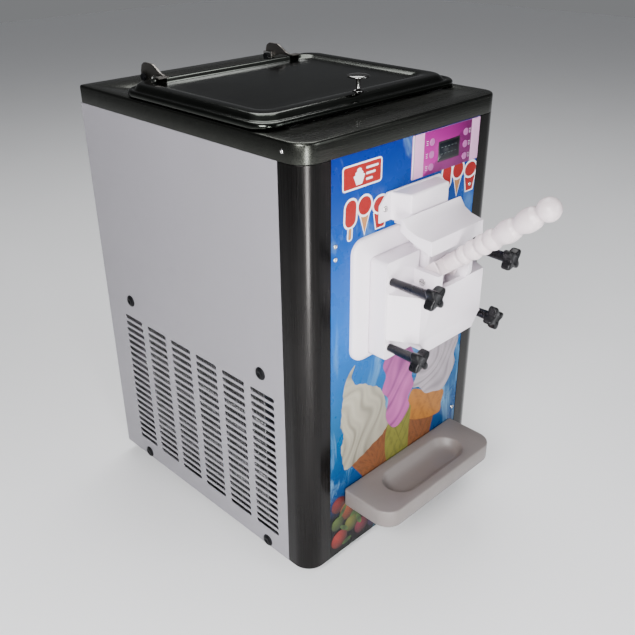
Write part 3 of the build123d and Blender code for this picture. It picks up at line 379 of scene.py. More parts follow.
def box_mm(node):
    """The low and high corners of a CAD node's box in mm."""
    low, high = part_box(node)
    return low / MM, high / MM


def lerp(a, b, t):
    """The value a share t of the way from a to b."""
    return a + (b - a) * t


def rect_rings(outer, inner, steps, plane, corner_steps=10):
    """Loops between two rounded rectangles (cx, cy, w, h, r); steps are (share of the way in, level)."""
    loops = []
    for share, level in steps:
        cx, cy, w, h, r = (lerp(a, b, share) for a, b in zip(outer, inner))
        loops.append([plane(u, v, level) for u, v in round_box(w, h, r, corner_steps, (cx, cy))])
    return loops


def flat(u, v, level):
    """A point of a level loop: level is Z."""
    return (u, v, level)


def upright(u, v, level):
    """A point of a loop drawn on the machine's front: level is Y."""
    return (u, level, v)


# ------------------------------------------------------------------ pieces
SHELLS = {  # CAD node: edge radius in mm and a look, or None for its slot's own
    "lid_ears": (0.5, "ear_steel"), "hinge_brackets": (0.4, None), "hinge_bolts": (0.5, "screw_black"),
    "valve_block": (1.6, None), "handle_hood": (2.0, None), "switch_cover": (1.2, None),
    "valve_plunger": (1.0, None), "handle_pins": (0.5, None), "tray_studs": (0.3, None),
    "head_studs": (0.5, None), "stud_washers": (0.4, None), "control_panel": (0.2, None),
    "display_window": (0.3, None), "cord_gland": (0.8, None), "rubber_feet": (2.0, None),
}
SHELLS.update({f"button_{i}": (0.3, None) for i in range(1, 7)})


def hopper_lid():
    """Pressed lid: rolled bead, groove, raised border and a shallow pan, from one sheet."""
    low, high = box_mm("lid")
    cx, cy = (low.x + high.x) / 2, (low.y + high.y) / 2
    z = low.z
    pan_w, pan_d, pan_y = 284, 222, cy + 15
    outer = (cx, cy, high.x - low.x, high.y - low.y, 30)
    steps = [(0.012, z + 0.2), (0.0, z + 1.0), (0.0, z + 4.8), (0.015, z + 6.6), (0.05, z + 7.8),
             (0.11, z + 8.1), (0.16, z + 7.6), (0.18, z + 6.9), (0.20, z + 6.9), (0.22, z + 7.8),
             (0.26, z + 10.5), (0.31, z + 13.0), (0.36, z + 14.1), (0.42, z + 14.4), (0.55, z + 14.3),
             (0.68, z + 14.0), (0.76, z + 13.0), (0.86, z + 10.4), (0.94, z + 8.9), (1.0, z + 8.5),
             (1.05, z + 8.4)]
    loops = rect_rings(outer, (cx, pan_y, pan_w, pan_d, 14), steps, flat, 14)
    loops += rect_rings(outer, (cx, pan_y, pan_w, pan_d, 10), [(1.5, z + 8.6)], flat, 14)
    for share, level in ((1.0, z + 8.9), (0.3, z + 9.0)):
        loops.append([flat(cx + u * share, pan_y + v * share, level) for u, v in round_box(110, 80, 4, 14)])
    lid = joined("lid_pressing", loops, cap_start=False)
    sheet = lid.modifiers.new("sheet", "SOLIDIFY")
    sheet.thickness = 1.2 * MM
    piece(lid, "lid", "mirror_steel", None, ("lid",))


def lid_knob():
    """Thin disc knob on a slim stem with a flared foot."""
    low, high = box_mm("lid_knob")
    x, y, z = (low.x + high.x) / 2, (low.y + high.y) / 2, low.z
    profile = [(0, 0), (7.6, 0), (7.6, 0.8), (7.0, 1.5), (4.2, 2.4), (3.1, 3.6), (2.7, 6), (2.7, 14),
               (3.4, 15.8), (5.6, 16.9), (9.5, 17.4), (13.6, 17.7), (14.8, 18.2), (15.1, 19.0),
               (14.7, 19.8), (13.2, 20.5), (9.0, 21.2), (4.5, 21.6), (0, 21.8)]
    knob = lathe("knob_turning", profile, (x, y, z), (0, 0, 1))
    piece(knob, "lid", "chrome_trim", "knob_steel", ("lid_knob",))


def cabinet_loop(inset, z):
    """The cabinet's plan with large front corners, in mm."""
    low, high = box_mm("top_cap")
    w, d = high.x - low.x - 2 * inset, high.y - low.y - 2 * inset
    front, rear = 28 - inset, 6 - min(inset, 5)
    centre = ((low.x + high.x) / 2, (low.y + high.y) / 2)
    loop = round_box(w, d, (front, rear, rear, front), 14, centre)
    return [(x, y, z) for x, y in loop]


def worktop():
    """Stainless worktop with a folded skirt and a cut-out for the hopper."""
    low, high = box_mm("top_cap")
    top, bottom = high.z, low.z
    outside = [(1.4, bottom + 0.2), (0.2, bottom), (0, bottom + 0.6), (0, top - 3.2), (0.5, top - 1.4),
               (1.5, top - 0.4), (3.2, top)]
    underside = [(3.2, top - 1.5), (1.5, top - 2.6), (1.4, bottom + 0.2)]
    loops = [cabinet_loop(*step) for step in outside]
    tub_low, tub_high = box_mm("hopper_tub")
    cx, cy = (tub_low.x + tub_high.x) / 2, (tub_low.y + tub_high.y) / 2
    w, d = tub_high.x - tub_low.x - 26, tub_high.y - tub_low.y - 26
    for z in (top, top - 1.4):
        loops.append([(x, y, z) for x, y in round_box(w, d, 30, 14, (cx, cy))])
    loops += [cabinet_loop(*step) for step in underside]
    cap = joined("worktop", loops, False, False)
    piece(cap, "cabinet", "brushed_steel", "top_steel", ("top_cap",))


def corner_posts():
    """Rounded front posts with folded returns."""
    low, _ = box_mm("front_posts")
    top = box_mm("top_cap")[0].z - 0.3
    radius, sheet, lip, fold = 28, 1.5, 9.4, 1.4
    side_leg, front_leg = 42, 45
    edge = abs(low.x)
    arc = [pi + (pi / 2) * i / 18 for i in range(19)]

    def bend(r, angles):
        return [(-edge + radius + r * cos(t), low.y + radius + r * sin(t)) for t in angles]

    outer = [(-edge, low.y + side_leg)] + bend(radius, arc)
    outer += [(-edge + front_leg, low.y), (-edge + front_leg, low.y + lip)]
    inner = [(-edge + front_leg - fold, low.y + lip), (-edge + front_leg - fold, low.y + sheet)]
    inner += bend(radius - sheet, reversed(arc))
    inner += [(-edge + sheet, low.y + side_leg - fold), (-edge + lip, low.y + side_leg - fold),
              (-edge + lip, low.y + side_leg)]
    for side, tag in ((-1, "left"), (1, "right")):
        plan = [(-side * x, y) for x, y in outer + inner]
        post = joined(f"corner_post_{tag}", [[(x, y, z) for x, y in plan] for z in (low.z, top)])
        bevel(post, 0.5, 2, 40)
        piece(post, "cabinet", "brushed_steel", None, ("front_posts",))


def surround():
    """Moulded frame round the head, softly domed between its outer wall and the opening."""
    low, high = box_mm("surround")
    plate_low, plate_high = box_mm("valve_block")
    front, back = low.y, high.y
    outer = ((low.x + high.x) / 2, (low.z + high.z) / 2, high.x - low.x, high.z - low.z, 20)
    opening = (outer[0], (plate_low.z + plate_high.z) / 2, plate_high.x - plate_low.x + 1.2,
               plate_high.z - plate_low.z + 1.2, 7)
    steps = [(0.0, back), (0.0, back - 3.4), (0.03, back - 5.0), (0.12, back - 6.6), (0.26, back - 7.8),
             (0.45, back - 9.0), (0.66, back - 10.6), (0.80, back - 11.8), (0.90, front), (0.96, front + 0.3),
             (1.0, front + 1.4), (1.0, back)]
    bezel = joined("head_surround", rect_rings(outer, opening, steps, upright), False, False)
    piece(bezel, "cabinet", "white_plastic", None, ("surround",))


def tray():
    """Moulded drip tray: soft edges and an oval basin."""
    low, high = box_mm("drip_tray")
    cx, cy = (low.x + high.x) / 2, (low.y + high.y) / 2
    w, d, top, bottom = high.x - low.x, high.y - low.y, high.z, low.z

    def edge(inset, z):
        corner = (26 - inset, 5 - min(inset, 4), 5 - min(inset, 4), 26 - inset)
        return [(x, y, z) for x, y in round_box(w - 2 * inset, d - 2 * inset, corner, 12, (cx, cy))]

    def hollow(grow, z):
        basin = round_box(158 + 2 * grow, 50 + 2 * grow, 24.9 + grow, 12, (cx + 2, cy - 1))
        return [(x, y, z) for x, y in basin]

    rim = [(1.6, bottom), (0.4, bottom + 0.5), (0, bottom + 1.6), (0, top - 2.4), (0.3, top - 1.0),
           (1.0, top - 0.3), (2.3, top)]
    dish = [(3.4, top), (1.4, top - 0.5), (0.2, top - 2.0), (-2.2, top - 6.5), (-5.0, top - 10.5),
            (-8.5, top - 13.0), (-13, top - 14), (-20, top - 14)]
    made = joined("tray_moulding", [edge(*step) for step in rim] + [hollow(*step) for step in dish])
    piece(made, "tray", "tray_plastic", None, ("drip_tray",))


def star_knob(number):
    """Four-lobed hand knob on a tapered neck."""
    low, high = box_mm(f"star_knob_{number}")
    x, z = (low.x + high.x) / 2, (low.z + high.z) / 2
    front, back = low.y, high.y
    turned = radians(38 if number < 4 else 4)
    angles = [2 * pi * i / 96 for i in range(96)]

    def star(scale, y):
        loop = []
        for t in angles:
            lobe = 0.5 + 0.5 * cos(4 * t)
            radius = scale * (9.3 + 8.0 * lobe ** 1.35)
            loop.append((x + radius * cos(t + turned), y, z + radius * sin(t + turned)))
        return loop

    def ring(radius, y):
        return [(x + radius * cos(t), y, z + radius * sin(t)) for t in angles]

    neck = [(5.2, back), (5.4, back - 0.6), (6.8, front + 15), (7.6, front + 13.8)]
    lobes = [(0.84, front + 13.4), (0.94, front + 12.8), (0.99, front + 11.6), (1.0, front + 10),
             (1.0, front + 4), (0.985, front + 2.2), (0.93, front + 0.8), (0.84, front + 0.1)]
    dimple = [(5.6, front), (5.2, front + 0.5), (4.6, front + 0.8)]
    loops = [ring(*step) for step in neck] + [star(*step) for step in lobes]
    loops += [ring(*step) for step in dimple]
    made = joined(f"hand_knob_{number}", loops)
    piece(made, f"star_knob_{number}", "knob_plastic", None, (f"star_knob_{number}",))


def lever_axes():
    """The lever's pivot in mm, the direction along it and the direction across it."""
    pivot = Vector(JOINTS["handle_hinge"]["pos_m"]) / MM
    along = Vector((0, -cos(GRIP_TILT), sin(GRIP_TILT)))
    across = Vector((0, sin(GRIP_TILT), cos(GRIP_TILT)))
    return pivot, along, across


def draw_lever():
    """Turned grip with six pear-shaped beads and a ball end."""
    pivot, along, across = lever_axes()
    ends = (44.0, 58.5, 77.0, 92.5, 108.5, 142.0, 174.3)
    valley = (8.8, 9.0, 9.2, 9.5, 9.8, 10.0, 10.4)
    peak = (12.4, 13.1, 13.6, 14.0, 14.6, 14.6)
    widest, steps = 0.56, 16  # share of a bead where it is widest, rings per bead
    ball, ball_at, ball_from = 14.7, 190.0, 150
    profile = [(0, 15.0), (10.6, 15.0), (11.1, 16.5), (11.1, 41.5), (10.9, 42.6), (10.2, 44.0)]
    for i, top in enumerate(peak):
        for k in range(1, steps + 1):
            t = k / steps
            base = lerp(valley[i], valley[i + 1], t)
            if t < widest:
                swell = sin(pi / 2 * t / widest) ** 1.1
            else:
                swell = (1 - ((t - widest) / (1 - widest)) ** 2) ** 0.5
            profile.append((base + (top - base) * swell, lerp(ends[i], ends[i + 1], t)))
    for k in range(1, 18):
        t = radians(ball_from * (1 - k / 18))
        profile.append((ball * sin(t), ball_at + ball * cos(t)))
    profile.append((0, ball_at + ball))
    grip = lathe("lever_grip", profile, pivot + across * 6.7, along)
    piece(grip, "handle", "handle_plastic", None, ("draw_handle",))


def yoke():
    """The forked end of the lever: the CAD shape's arms and bridge with eased edges, without its grip."""
    pivot, along, across = lever_axes()
    rest = Vector((0, 18 * cos(radians(20)), -18 * sin(radians(20))))
    pin_s, pin_n = rest.dot(along), rest.dot(across)
    bends = ((0, 0, 9, -78, -20), (22, -2.5, 2.0, -90, 0), (22, 14.5, 2.0, 0, 90), (15, 14.5, 2.0, 90, 110),
             (pin_s, pin_n, 7, 118, 262))
    outline = []
    for cs, cn, r, t0, t1 in bends:
        for k in range(9):
            t = radians(lerp(t0, t1, k / 8))
            outline.append((cs + r * cos(t), cn + r * sin(t)))

    def place(s, n, x):
        p = pivot + along * s + across * n
        return (HEAD_X / MM + x, p.y, p.z)

    for side, tag in ((-1, "left"), (1, "right")):
        arm = joined(f"yoke_arm_{tag}", [[place(s, n, side * x) for s, n in outline] for x in (20.4, 26.0)])
        bevel(arm, 0.9, 3, 40)
        piece(arm, "handle", "handle_plastic")
    block = [(13, -4), (24, -4), (24, 16.5), (13, 16.5)]
    bridge = joined("yoke_bridge", [[place(s, n, x) for s, n in block] for x in (-25.6, 25.6)])
    bevel(bridge, 1.6, 3, 40)
    piece(bridge, "handle", "handle_plastic")


def islands(node):
    """Boxes in mm of the separate solids in a CAD node."""
    bm = node_mesh(node)
    seen, boxes = set(), []
    for seed in bm.verts:
        if seed in seen:
            continue
        seen.add(seed)
        waiting, group = [seed], []
        while waiting:
            vert = waiting.pop()
            group.append(vert.co / MM)
            for edge in vert.link_edges:
                other = edge.other_vert(vert)
                if other not in seen:
                    seen.add(other)
                    waiting.append(other)
        boxes.append((Vector(map(min, zip(*group))), Vector(map(max, zip(*group)))))
    bm.free()
    return boxes


def screws():
    """Domed heads with a recess: large black ones on the sides, small bright ones on the front and rear."""
    cabinet_low, cabinet_high = box_mm("top_cap")
    skin = 6  # mm below the cabinet's outside where a screw belongs to that face
    for n, (low, high) in enumerate(islands("cabinet_screws"), 1):
        centre = (low + high) / 2
        r = (high.z - low.z) / 2
        if abs(centre.x) > cabinet_high.x - skin:
            side = 1 if centre.x > 0 else -1
            axis = Vector((side, 0, 0))
            tip = Vector((max(abs(low.x), abs(high.x)) * side, centre.y, centre.z))
        elif centre.y < cabinet_low.y + skin:
            axis = Vector((0, -1, 0))
            tip = Vector((centre.x, low.y, centre.z))
        else:
            axis = Vector((0, 1, 0))
            tip = Vector((centre.x, high.y, centre.z))
        big = r > 5
        if big:
            r *= 1.25
        h = 3.4 if big else 1.6
        profile = [(0, 0.55), (0.26, 0.6), (0.32, 1), (0.55, 0.94), (0.78, 0.72), (0.93, 0.40), (1, 0.12),
                   (1, 0), (0, 0)]
        head = lathe(f"screw_head_{n}", [(r * a, h * b) for a, b in profile], tip - axis * h, axis, 32)
        piece(head, "cabinet", "screw_black", "screw_black" if big else "bright_steel",
              ("cabinet_screws",) if n == 1 else ())


def side_panel(node):
    """A louvred side sheet: its pressed slots flare 0.6 mm past the plain CAD slots along both edges."""
    mid_y, mid_z = box_mm("front_posts")[0].y + 241.5, box_mm(node)[0].z + 153.5
    pitch, slot_half, flare = 11.7, 3.1, 1.2
    half_y, half_z = 180, 122
    bm = node_mesh(node)
    for vert in bm.verts:
        y, z = vert.co.y / MM - mid_y, vert.co.z / MM - mid_z
        row = round(z / pitch) * pitch
        if abs(y) < half_y and abs(z) < half_z and abs(z - row) < slot_half + 0.2:
            vert.co.z = (mid_z + row + (z - row) * flare) * MM
    piece(from_bmesh(bm, node + "_sheet", False), "cabinet", "side_paint", None, (node,))


for node, (edge, look) in SHELLS.items():
    piece(bevelled(node, edge), BODY_OF[node], SLOT_OF[node], look, (node,))
hopper_lid()
lid_knob()
worktop()
corner_posts()
surround()
tray()
side_panel("side_panel_left")
side_panel("side_panel_right")
draw_lever()
yoke()
screws()
for number in range(1, 5):
    star_knob(number)
for node, obj in frame["nodes"].items():
    give(obj, "tub_steel" if node == "hopper_tub" else SLOT_OF[node])


# ------------------------------------------------------------------ printed front
def print_look():
    """Ink on film: its colour lies in the mesh, under a faint grain."""
    s = Shader("print_ink", (0.5, 0.5, 0.5), 0.34, 0.0, Specular_IOR_Level=0.1)
    ink = s.node("ShaderNodeAttribute", attribute_name="ink")
    dots = s.noise(1500, 1.0)
    s.color(s.mix(s.span(dots, 0.0, 0.03), ink.outputs["Color"], (0.9, 0.9, 0.9)))
    s.roughness(s.span(s.noise(40, 4.0), 0.28, 0.40))
    return s.mat


LOOKS["print_ink"] = print_look()
PANEL_Y = box_mm("front_panel")[0].y
FOOT_Z = box_mm("front_panel")[0].z
LAYER = 0.05  # mm between layers of ink


def filled(name, outline, tone, level, rings=1):
    """Fill a closed outline of (x, z) in mm above the cabinet's foot; tone(x, z) is the ink at a place."""
    cx = sum(p[0] for p in outline) / len(outline)
    cz = sum(p[1] for p in outline) / len(outline)
    bm = bmesh.new()
    ink = bm.verts.layers.float_color.new("ink")

    def dot(x, z):
        vert = bm.verts.new((x * MM, (PANEL_Y - LAYER * level) * MM, (z + FOOT_Z) * MM))
        vert[ink] = (*tone(x, z), 1)
        return vert

    loops = [[dot(lerp(x, cx, r / rings), lerp(z, cz, r / rings)) for x, z in outline] for r in range(rings)]
    middle = dot(cx, cz)
    count = len(outline)
    for outer, inner in zip(loops, loops[1:]):
        for i in range(count):
            j = (i + 1) % count
            bm.faces.new((outer[i], outer[j], inner[j], inner[i]))
    for i in range(count):
        bm.faces.new((loops[-1][i], loops[-1][(i + 1) % count], middle))
    bmesh.ops.recalc_face_normals(bm, faces=bm.faces)
    obj = from_bmesh(bm, name, False)
    if obj.data.polygons[0].normal.y > 0:
        obj.data.flip_normals()
    piece(obj, "cabinet", "front_graphic", "print_ink")


def smooth(points, count=8):
    """A closed curve through the points."""
    curve = []
    for k in range(len(points)):
        p = [points[(k + o) % len(points)] for o in (-1, 0, 1, 2)]
        for step in range(count):
            t = step / count
            curve.append(tuple(0.5 * (2 * b + (c - a) * t + (2 * a - 5 * b + 4 * c - d) * t * t
                                      + (3 * b - a - 3 * c + d) * t ** 3) for a, b, c, d in zip(*p)))
    return curve


def oval(cx, cz, w, h, turn=0.0, count=40):
    """Points of an ellipse with half axes w and h."""
    angles = [2 * pi * i / count for i in range(count)]
    return [(cx + w * cos(t) * cos(turn) - h * sin(t) * sin(turn),
             cz + w * cos(t) * sin(turn) + h * sin(t) * cos(turn)) for t in angles]


def rounded(cx, cz, w, h, r, lean=0.0):
    """Points of a rounded rectangle, leaning as a share of its height."""
    return [(x + (z - cz) * lean, z) for x, z in round_box(w, h, r, 5, (cx, cz))]


def shifted(outline, amount):
    """An outline with point k moved square to its neighbours by amount(k)."""
    out = []
    for k, (x, z) in enumerate(outline):
        (xa, za), (xb, zb) = outline[k - 1], outline[(k + 1) % len(outline)]
        size = hypot(xb - xa, zb - za) or 1
        by = amount(k)
        out.append((x + (zb - za) / size * by, z - (xb - xa) / size * by))
    return out


def grown(outline, by):
    """An outline moved outwards by a distance, whichever way round it runs."""
    area = sum(a[0] * b[1] - b[0] * a[1] for a, b in zip(outline, outline[1:] + outline[:1]))
    return shifted(outline, lambda k: by if area > 0 else -by)


def ruffled(outline, depth):
    """An outline with small uneven waves."""
    return shifted(outline, lambda k: depth * (sin(1.9 * k) + sin(0.83 * k + 1)) / 2)


def blend(a, b, share):
    """Ink a carried towards ink b."""
    share = min(1.0, max(0.0, share))
    return tuple(lerp(p, q, share) for p, q in zip(a, b))


def creamy(light, dark, centre, wave, glow):
    """Folded cream: arcs round a centre, fading away from a lit place."""
    def tone(x, z):
        far = hypot(x - centre[0], z - centre[1]) + 8 * sin(x / 21 + z / 34) + 5 * sin(z / 11 - x / 17)
        fold = 0.5 + 0.5 * sin(2 * pi * far / wave)
        fine = 0.5 + 0.5 * sin(2 * pi * far / (wave * 0.41) + z / 13)
        fade = hypot(x - glow[0], z - glow[1]) / 150
        patch = 0.5 + 0.5 * sin(x / 9 + 2 * sin(z / 19)) * sin(z / 14 + sin(x / 16))
        return blend(dark, light, 1.02 - 0.34 * (1 - fold) ** 4 - 0.13 * fine - 0.14 * patch - 0.46 * fade)
    return tone


def wafer(light, dark, pitch=9.0):
    """Crossed wafer lines."""
    def tone(x, z):
        near = min(abs(sin(pi * (x + 0.45 * z) / pitch)), abs(sin(pi * (x - 0.6 * z) / pitch)))
        return blend(dark, light, 0.30 + 0.75 * min(1, near * 2.2))
    return tone


def plain(color):
    """The same ink everywhere."""
    return lambda x, z: color


def sign(name, outline, color, level, border=2.8):
    """A shape in one colour with a white border."""
    filled(name + "_border", grown(outline, border), plain(PAPER), level)
    filled(name, outline, plain(color), level + 1)


RED, PAPER, BISCUIT = (0.25, 0.0, 0.0), (0.74, 0.74, 0.78), (0.36, 0.15, 0.05)


def plaque():
    """Red plaque with a sundae glass and three bars: a plain badge without lettering."""
    sign("plaque", rounded(-91, 576, 66, 27, 2.5), RED, 1, 2.2)
    filled("plaque_glass", [(-106, 574), (-102, 565), (-92, 565), (-88, 574)], plain(PAPER), 3)
    for k, half in enumerate((10, 7, 4)):
        filled(f"plaque_scoop_{k + 1}", oval(-97, 575.5 + 3.6 * k, half, 2.8), plain(PAPER), 3.2 + 0.2 * k)
    for k in range(3):
        bar = rounded(-74 - 2.5 * k, 583 - 7 * k, 22 - 5 * k, 2.8, 1.3)
        filled(f"plaque_bar_{k + 1}", bar, plain(PAPER), 3)


def treats(tag, x, z, size):
    """A stick lolly, a cone and a tub in red with white borders."""
    def at(dx, dz):
        return x + dx * size, z + dz * size

    sign(f"lolly_{tag}", rounded(*at(0, 4), 17 * size, 30 * size, 8 * size, 0.05), RED, 1)
    stick = rounded(*at(-1, -19), 5 * size, 13 * size, 2.2 * size, 0.05)
    sign(f"lolly_stick_{tag}", stick, BISCUIT, 0.4, 2.0)
    sign(f"cone_{tag}", [at(14, 4), at(22.5, -25), at(31, 4)], BISCUIT, 1, 2.4)
    sign(f"cone_scoop_{tag}", oval(*at(22.5, 8), 10.5 * size, 10.5 * size), RED, 2.5)
    tub = [at(38, -6), at(42, -24), at(55, -24), at(59, -6)]
    sign(f"tub_{tag}", tub, RED, 1, 2.4)
    sign(f"tub_top_{tag}", oval(*at(48.5, 3), 11.5 * size, 9 * size), RED, 3)


def soft_serves():
    """Three wafer cones under swirls of cream."""
    brown, brown_dark = (0.125, 0.038, 0.008), (0.05, 0.014, 0.003)
    gold, gold_dark = (0.25, 0.09, 0.007), (0.13, 0.043, 0.004)
    green, green_dark = (0.115, 0.11, 0.012), (0.05, 0.052, 0.007)
    vanilla = creamy((0.33, 0.305, 0.235), (0.06, 0.052, 0.04), (-150, 210), 21, (-95, 270))
    lilac = creamy((0.37, 0.325, 0.36), (0.07, 0.058, 0.068), (10, 330), 17, (80, 270))
    berry = creamy((0.36, 0.075, 0.25), (0.045, 0.001, 0.05), (-70, 330), 26, (20, 210))
    cone_left = smooth([(-104, 158), (-66, 170), (-24, 182), (-18, 120), (-8, 40), (-40, 36), (-76, 112)])
    curl_left = smooth([(-98, 315), (-105, 299), (-99, 285), (-104, 276), (-119, 278), (-118, 292),
                        (-110, 306)])
    swirl_left = smooth([(-118, 284), (-92, 282), (-64, 267), (-40, 248), (-29, 212), (-22, 188),
                         (-34, 172), (-66, 160), (-99, 149), (-116, 150), (-124, 188), (-119, 208),
                         (-125, 230), (-122, 262)])
    cone_right = smooth([(24, 180), (60, 160), (94, 176), (80, 116), (66, 50), (30, 46), (22, 112)])
    cup_right = smooth([(28, 216), (64, 200), (108, 182), (106, 160), (101, 142), (60, 150), (22, 172)])
    swirl_right = smooth([(60, 292), (42, 272), (30, 256), (38, 240), (30, 222), (46, 214), (62, 196),
                          (82, 190), (104, 184), (120, 196), (134, 220), (130, 240), (138, 264),
                          (126, 300), (92, 306)])
    wrap_middle = smooth([(-24, 182), (2, 176), (27, 192), (26, 150), (22, 80), (-6, 76), (-28, 130)])
    swirl_middle = smooth([(-20, 312), (-40, 290), (-33, 268), (-40, 246), (-26, 226), (-30, 200),
                           (-22, 180), (-8, 168), (8, 172), (24, 190), (20, 208), (32, 226), (26, 246),
                           (34, 262), (24, 290), (8, 312)])
    filled("cone_left", cone_left, wafer(brown, brown_dark, 13), 1, 8)
    filled("curl_left", curl_left, vanilla, 2.4, 8)
    filled("swirl_left", ruffled(swirl_left, 1.3), vanilla, 2, 20)
    filled("cone_right", cone_right, wafer(brown, brown_dark, 15), 1, 8)
    filled("cup_right", cup_right, wafer(gold, gold_dark, 22), 2, 8)
    filled("swirl_right", swirl_right, lilac, 3, 20)
    filled("wrap_middle", wrap_middle, wafer(green, green_dark, 17), 3, 8)
    filled("swirl_middle", swirl_middle, berry, 4, 20)


def fruit():
    """Round fruit, each lit from its upper left, along the foot of the print."""
    lime, lemon, melon = (0.10, 0.16, 0.02), (0.20, 0.20, 0.02), (0.42, 0.07, 0.01)
    rounds = ((-128, 92, 15, RED), (-108, 72, 18, melon), (-130, 58, 13, lime), (-100, 42, 16, lemon),
              (-126, 26, 17, (0.45, 0.02, 0.01)), (-78, 24, 15, (0.25, 0.01, 0.04)),
              (-50, 18, 13, (0.06, 0.01, 0.10)), (36, 22, 16, RED), (68, 18, 14, (0.42, 0.14, 0.02)),
              (102, 24, 17, (0.34, 0.02, 0.03)), (-84, 58, 10, (0.12, 0.18, 0.02)),
              (88, 50, 12, (0.16, 0.20, 0.03)))
    for n, (x, z, radius, color) in enumerate(rounds, 1):
        def tone(px, pz, x=x, z=z, radius=radius, color=color):
            lit = 1 - hypot(px - x + 0.35 * radius, pz - z - 0.4 * radius) / (1.5 * radius)
            return blend(tuple(c * 0.01 for c in color), tuple(0.4 * c + 0.001 for c in color), lit)
        filled(f"fruit_{n}", oval(x, z, radius, radius * 0.94, 0, 28), tone, 5 + 0.3 * (n % 4), 6)


def leaves():
    """Small leaves between the fruit, darker at their middles."""
    dark, light = (0.004, 0.012, 0.003), (0.035, 0.075, 0.01)
    blades = ((-119, 76, 12, 0.9), (-116, 42, 11, 2.4), (-92, 60, 12, 0.4), (-84, 40, 12, 2.0),
              (-110, 14, 10, 0.2), (52, 30, 12, 1.1), (86, 34, 12, 2.6), (118, 40, 11, 0.7))
    for n, (x, z, size, turn) in enumerate(blades, 1):
        def tone(px, pz, x=x, z=z):
            return blend(dark, light, hypot(px - x, pz - z) / 12)
        filled(f"leaf_{n}", oval(x, z, size, size * 0.36, turn, 20), tone, 6.4, 4)


def front_picture():
    """A generic parlour print: a badge, a row of treats and three soft serves over fruit."""
    plaque()
    treats("left", -111, 527, 1.12)
    treats("right", 78, 530, 1.12)
    soft_serves()
    fruit()
    leaves()


def control_film():
    """Magenta film with a pale edge, a dark display and marks beside the buttons."""
    low, high = box_mm("control_panel")
    lcd_low, lcd_high = box_mm("display_window")

    def film(name, centre, size, look, level, radius=1.0):
        loop = round_box(*size, radius, 4, centre)
        made = joined(name, [[upright(u, v, low.y - level + d) for u, v in loop] for d in (0.05, 0.0)])
        piece(made, "cabinet", "panel_film", look)

    def sheet(name, x0, x1, z0, z1, look, level):
        film(name, ((x0 + x1) / 2, (z0 + z1) / 2), (x1 - x0, z1 - z0), look, level)

    def window(name, grow, look, level):
        sheet(name, lcd_low.x - grow, lcd_high.x + grow, lcd_low.z - grow, lcd_high.z + grow, look, level)

    sheet("film_middle", low.x + 22.5, high.x - 19, low.z, high.z, "film_magenta", 0.10)
    sheet("film_left_edge", low.x, low.x + 3.5, low.z, high.z, "film_white", 0.10)
    window("display_bezel", 1.6, "black_plastic", 0.22)
    window("display_face", -1, "display_glass", 0.30)
    for row in range(2):
        for k in range(5):
            x = lerp(lcd_low.x + 7, lcd_high.x - 7, k / 4)
            z = lerp(lcd_high.z, lcd_low.z, 0.3 + 0.36 * row)
            film(f"display_mark_{row + 1}_{k + 1}", (x, z), (4.4, 1.0), "display_ink", 0.34, 0.4)
    for n in range(1, 7):
        b_low, b_high = box_mm(f"button_{n}")
        cx, cz = (b_low.x + b_high.x) / 2, (b_low.z + b_high.z) / 2
        away = -1 if n < 4 else 1
        for k, width in enumerate((4.5, 3.0, 4.0)):
            place = (cx + away * 9.5, cz + 2.4 * (1 - k))
            film(f"button_mark_{n}_{k + 1}", place, (width, 0.8), "film_white", 0.18, 0.35)


LOOKS["film_magenta"] = painted("film_magenta", (0.25, 0.012, 0.165), 0.34, 0.02, 0.05,
                                Specular_IOR_Level=0.15)
LOOKS["film_white"] = painted("film_white", (0.74, 0.60, 0.72), 0.35, 0.02)
LOOKS["display_ink"] = painted("display_ink", (0.05, 0.07, 0.07), 0.4, 0.02)
front_picture()
control_film()


# ------------------------------------------------------------------ camera, floor, light
def aim_camera():
    """The camera at the photograph's angle, looking ahead by its yaw, pitch and roll."""
    camera = bpy.data.objects.new("camera", bpy.data.cameras.new("camera"))
    camera.data.lens = 45.04
    camera.data.sensor_width = 36
    camera.data.clip_start = 0.05
    camera.location = (-0.7730, -0.7430, 0.8857)
    yaw, pitch, roll = radians(44.73), radians(27.78), radians(0.394)
    ahead = Vector((sin(yaw) * cos(pitch), cos(yaw) * cos(pitch), -sin(pitch)))
    right = ahead.cross(Vector((0, 0, 1))).normalized()
    up = right.cross(ahead)
    right, up = right * cos(roll) - up * sin(roll), up * cos(roll) + right * sin(roll)
    turn = Matrix((right, up, -ahead)).transposed().to_4x4()
    camera.matrix_world = Matrix.Translation(camera.location) @ turn
    bpy.context.scene.collection.objects.link(camera)
    bpy.context.scene.camera = camera


def lay_floor():
    """A wide pale floor."""
    bm = bmesh.new()
    bmesh.ops.create_grid(bm, x_segments=1, y_segments=1, size=6)
    floor = from_bmesh(bm, "floor", False)
    s = Shader("floor", (0.86, 0.86, 0.87), 0.7)
    s.roughness(s.span(s.noise(6, 3.0), 0.65, 0.8))
    floor.data.materials.append(s.mat)


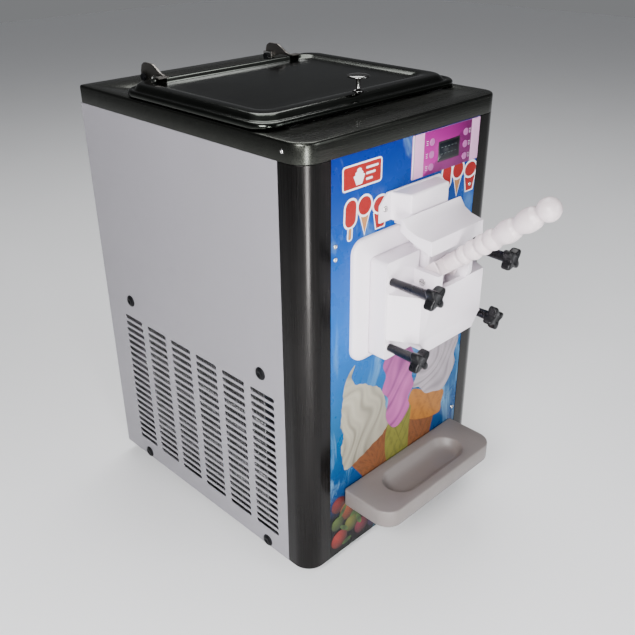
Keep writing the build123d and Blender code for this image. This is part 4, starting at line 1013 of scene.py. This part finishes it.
def area_light(name, place, target, size, power, color=(1, 1, 1)):
    """A soft rectangular light turned to its target, unseen by the camera."""
    light = bpy.data.lights.new(name, "AREA")
    light.shape = "RECTANGLE"
    light.size, light.size_y = size
    light.energy = power
    light.color = color
    obj = bpy.data.objects.new(name, light)
    obj.location = place
    obj.rotation_euler = (Vector(target) - Vector(place)).to_track_quat("-Z", "Y").to_euler()
    obj.visible_camera = False
    bpy.context.scene.collection.objects.link(obj)


def light_room():
    """A surrounding room: darker walls, a brighter ceiling and a lit line at the floor."""
    world = bpy.data.worlds.new("world")
    world.use_nodes = True
    nodes, links = world.node_tree.nodes, world.node_tree.links
    place, height = nodes.new("ShaderNodeTexCoord"), nodes.new("ShaderNodeSeparateXYZ")
    shade, ramp = nodes.new("ShaderNodeMapRange"), nodes.new("ShaderNodeValToRGB")
    for key, value in (("From Min", -1), ("From Max", 1)):
        shade.inputs[key].default_value = value
    links.new(place.outputs["Generated"], height.inputs[0])
    links.new(height.outputs["Z"], shade.inputs["Value"])
    links.new(shade.outputs[0], ramp.inputs[0])
    stops = ((0.50, 0.42), (0.57, 0.18), (0.80, 0.18), (0.95, 0.90))
    while len(ramp.color_ramp.elements) < len(stops):
        ramp.color_ramp.elements.new(0.5)
    for element, (at, level) in zip(ramp.color_ramp.elements, stops):
        element.position, element.color = at, (0.95 * level, 0.97 * level, level, 1)
    links.new(ramp.outputs[0], nodes["Background"].inputs["Color"])
    nodes["Background"].inputs["Strength"].default_value = 0.5
    bpy.context.scene.world = world


aim_camera()
lay_floor()
area_light("key", (-1.15, -0.70, 1.05), (-0.15, -0.1, 0.38), (0.55, 0.55), 33)
area_light("fill", (0.9, -2.4, 1.3), (0, 0, 0.35), (1.2, 1.2), 30, (0.95, 0.97, 1.0))
area_light("over", (0.6, 0.8, 2.4), (0, 0, 0.4), (1.4, 1.4), 44)
area_light("post_strip", (-0.62, -0.98, 0.30), (-0.17, -0.11, 0.35), (0.16, 0.6), 14)
light_room()
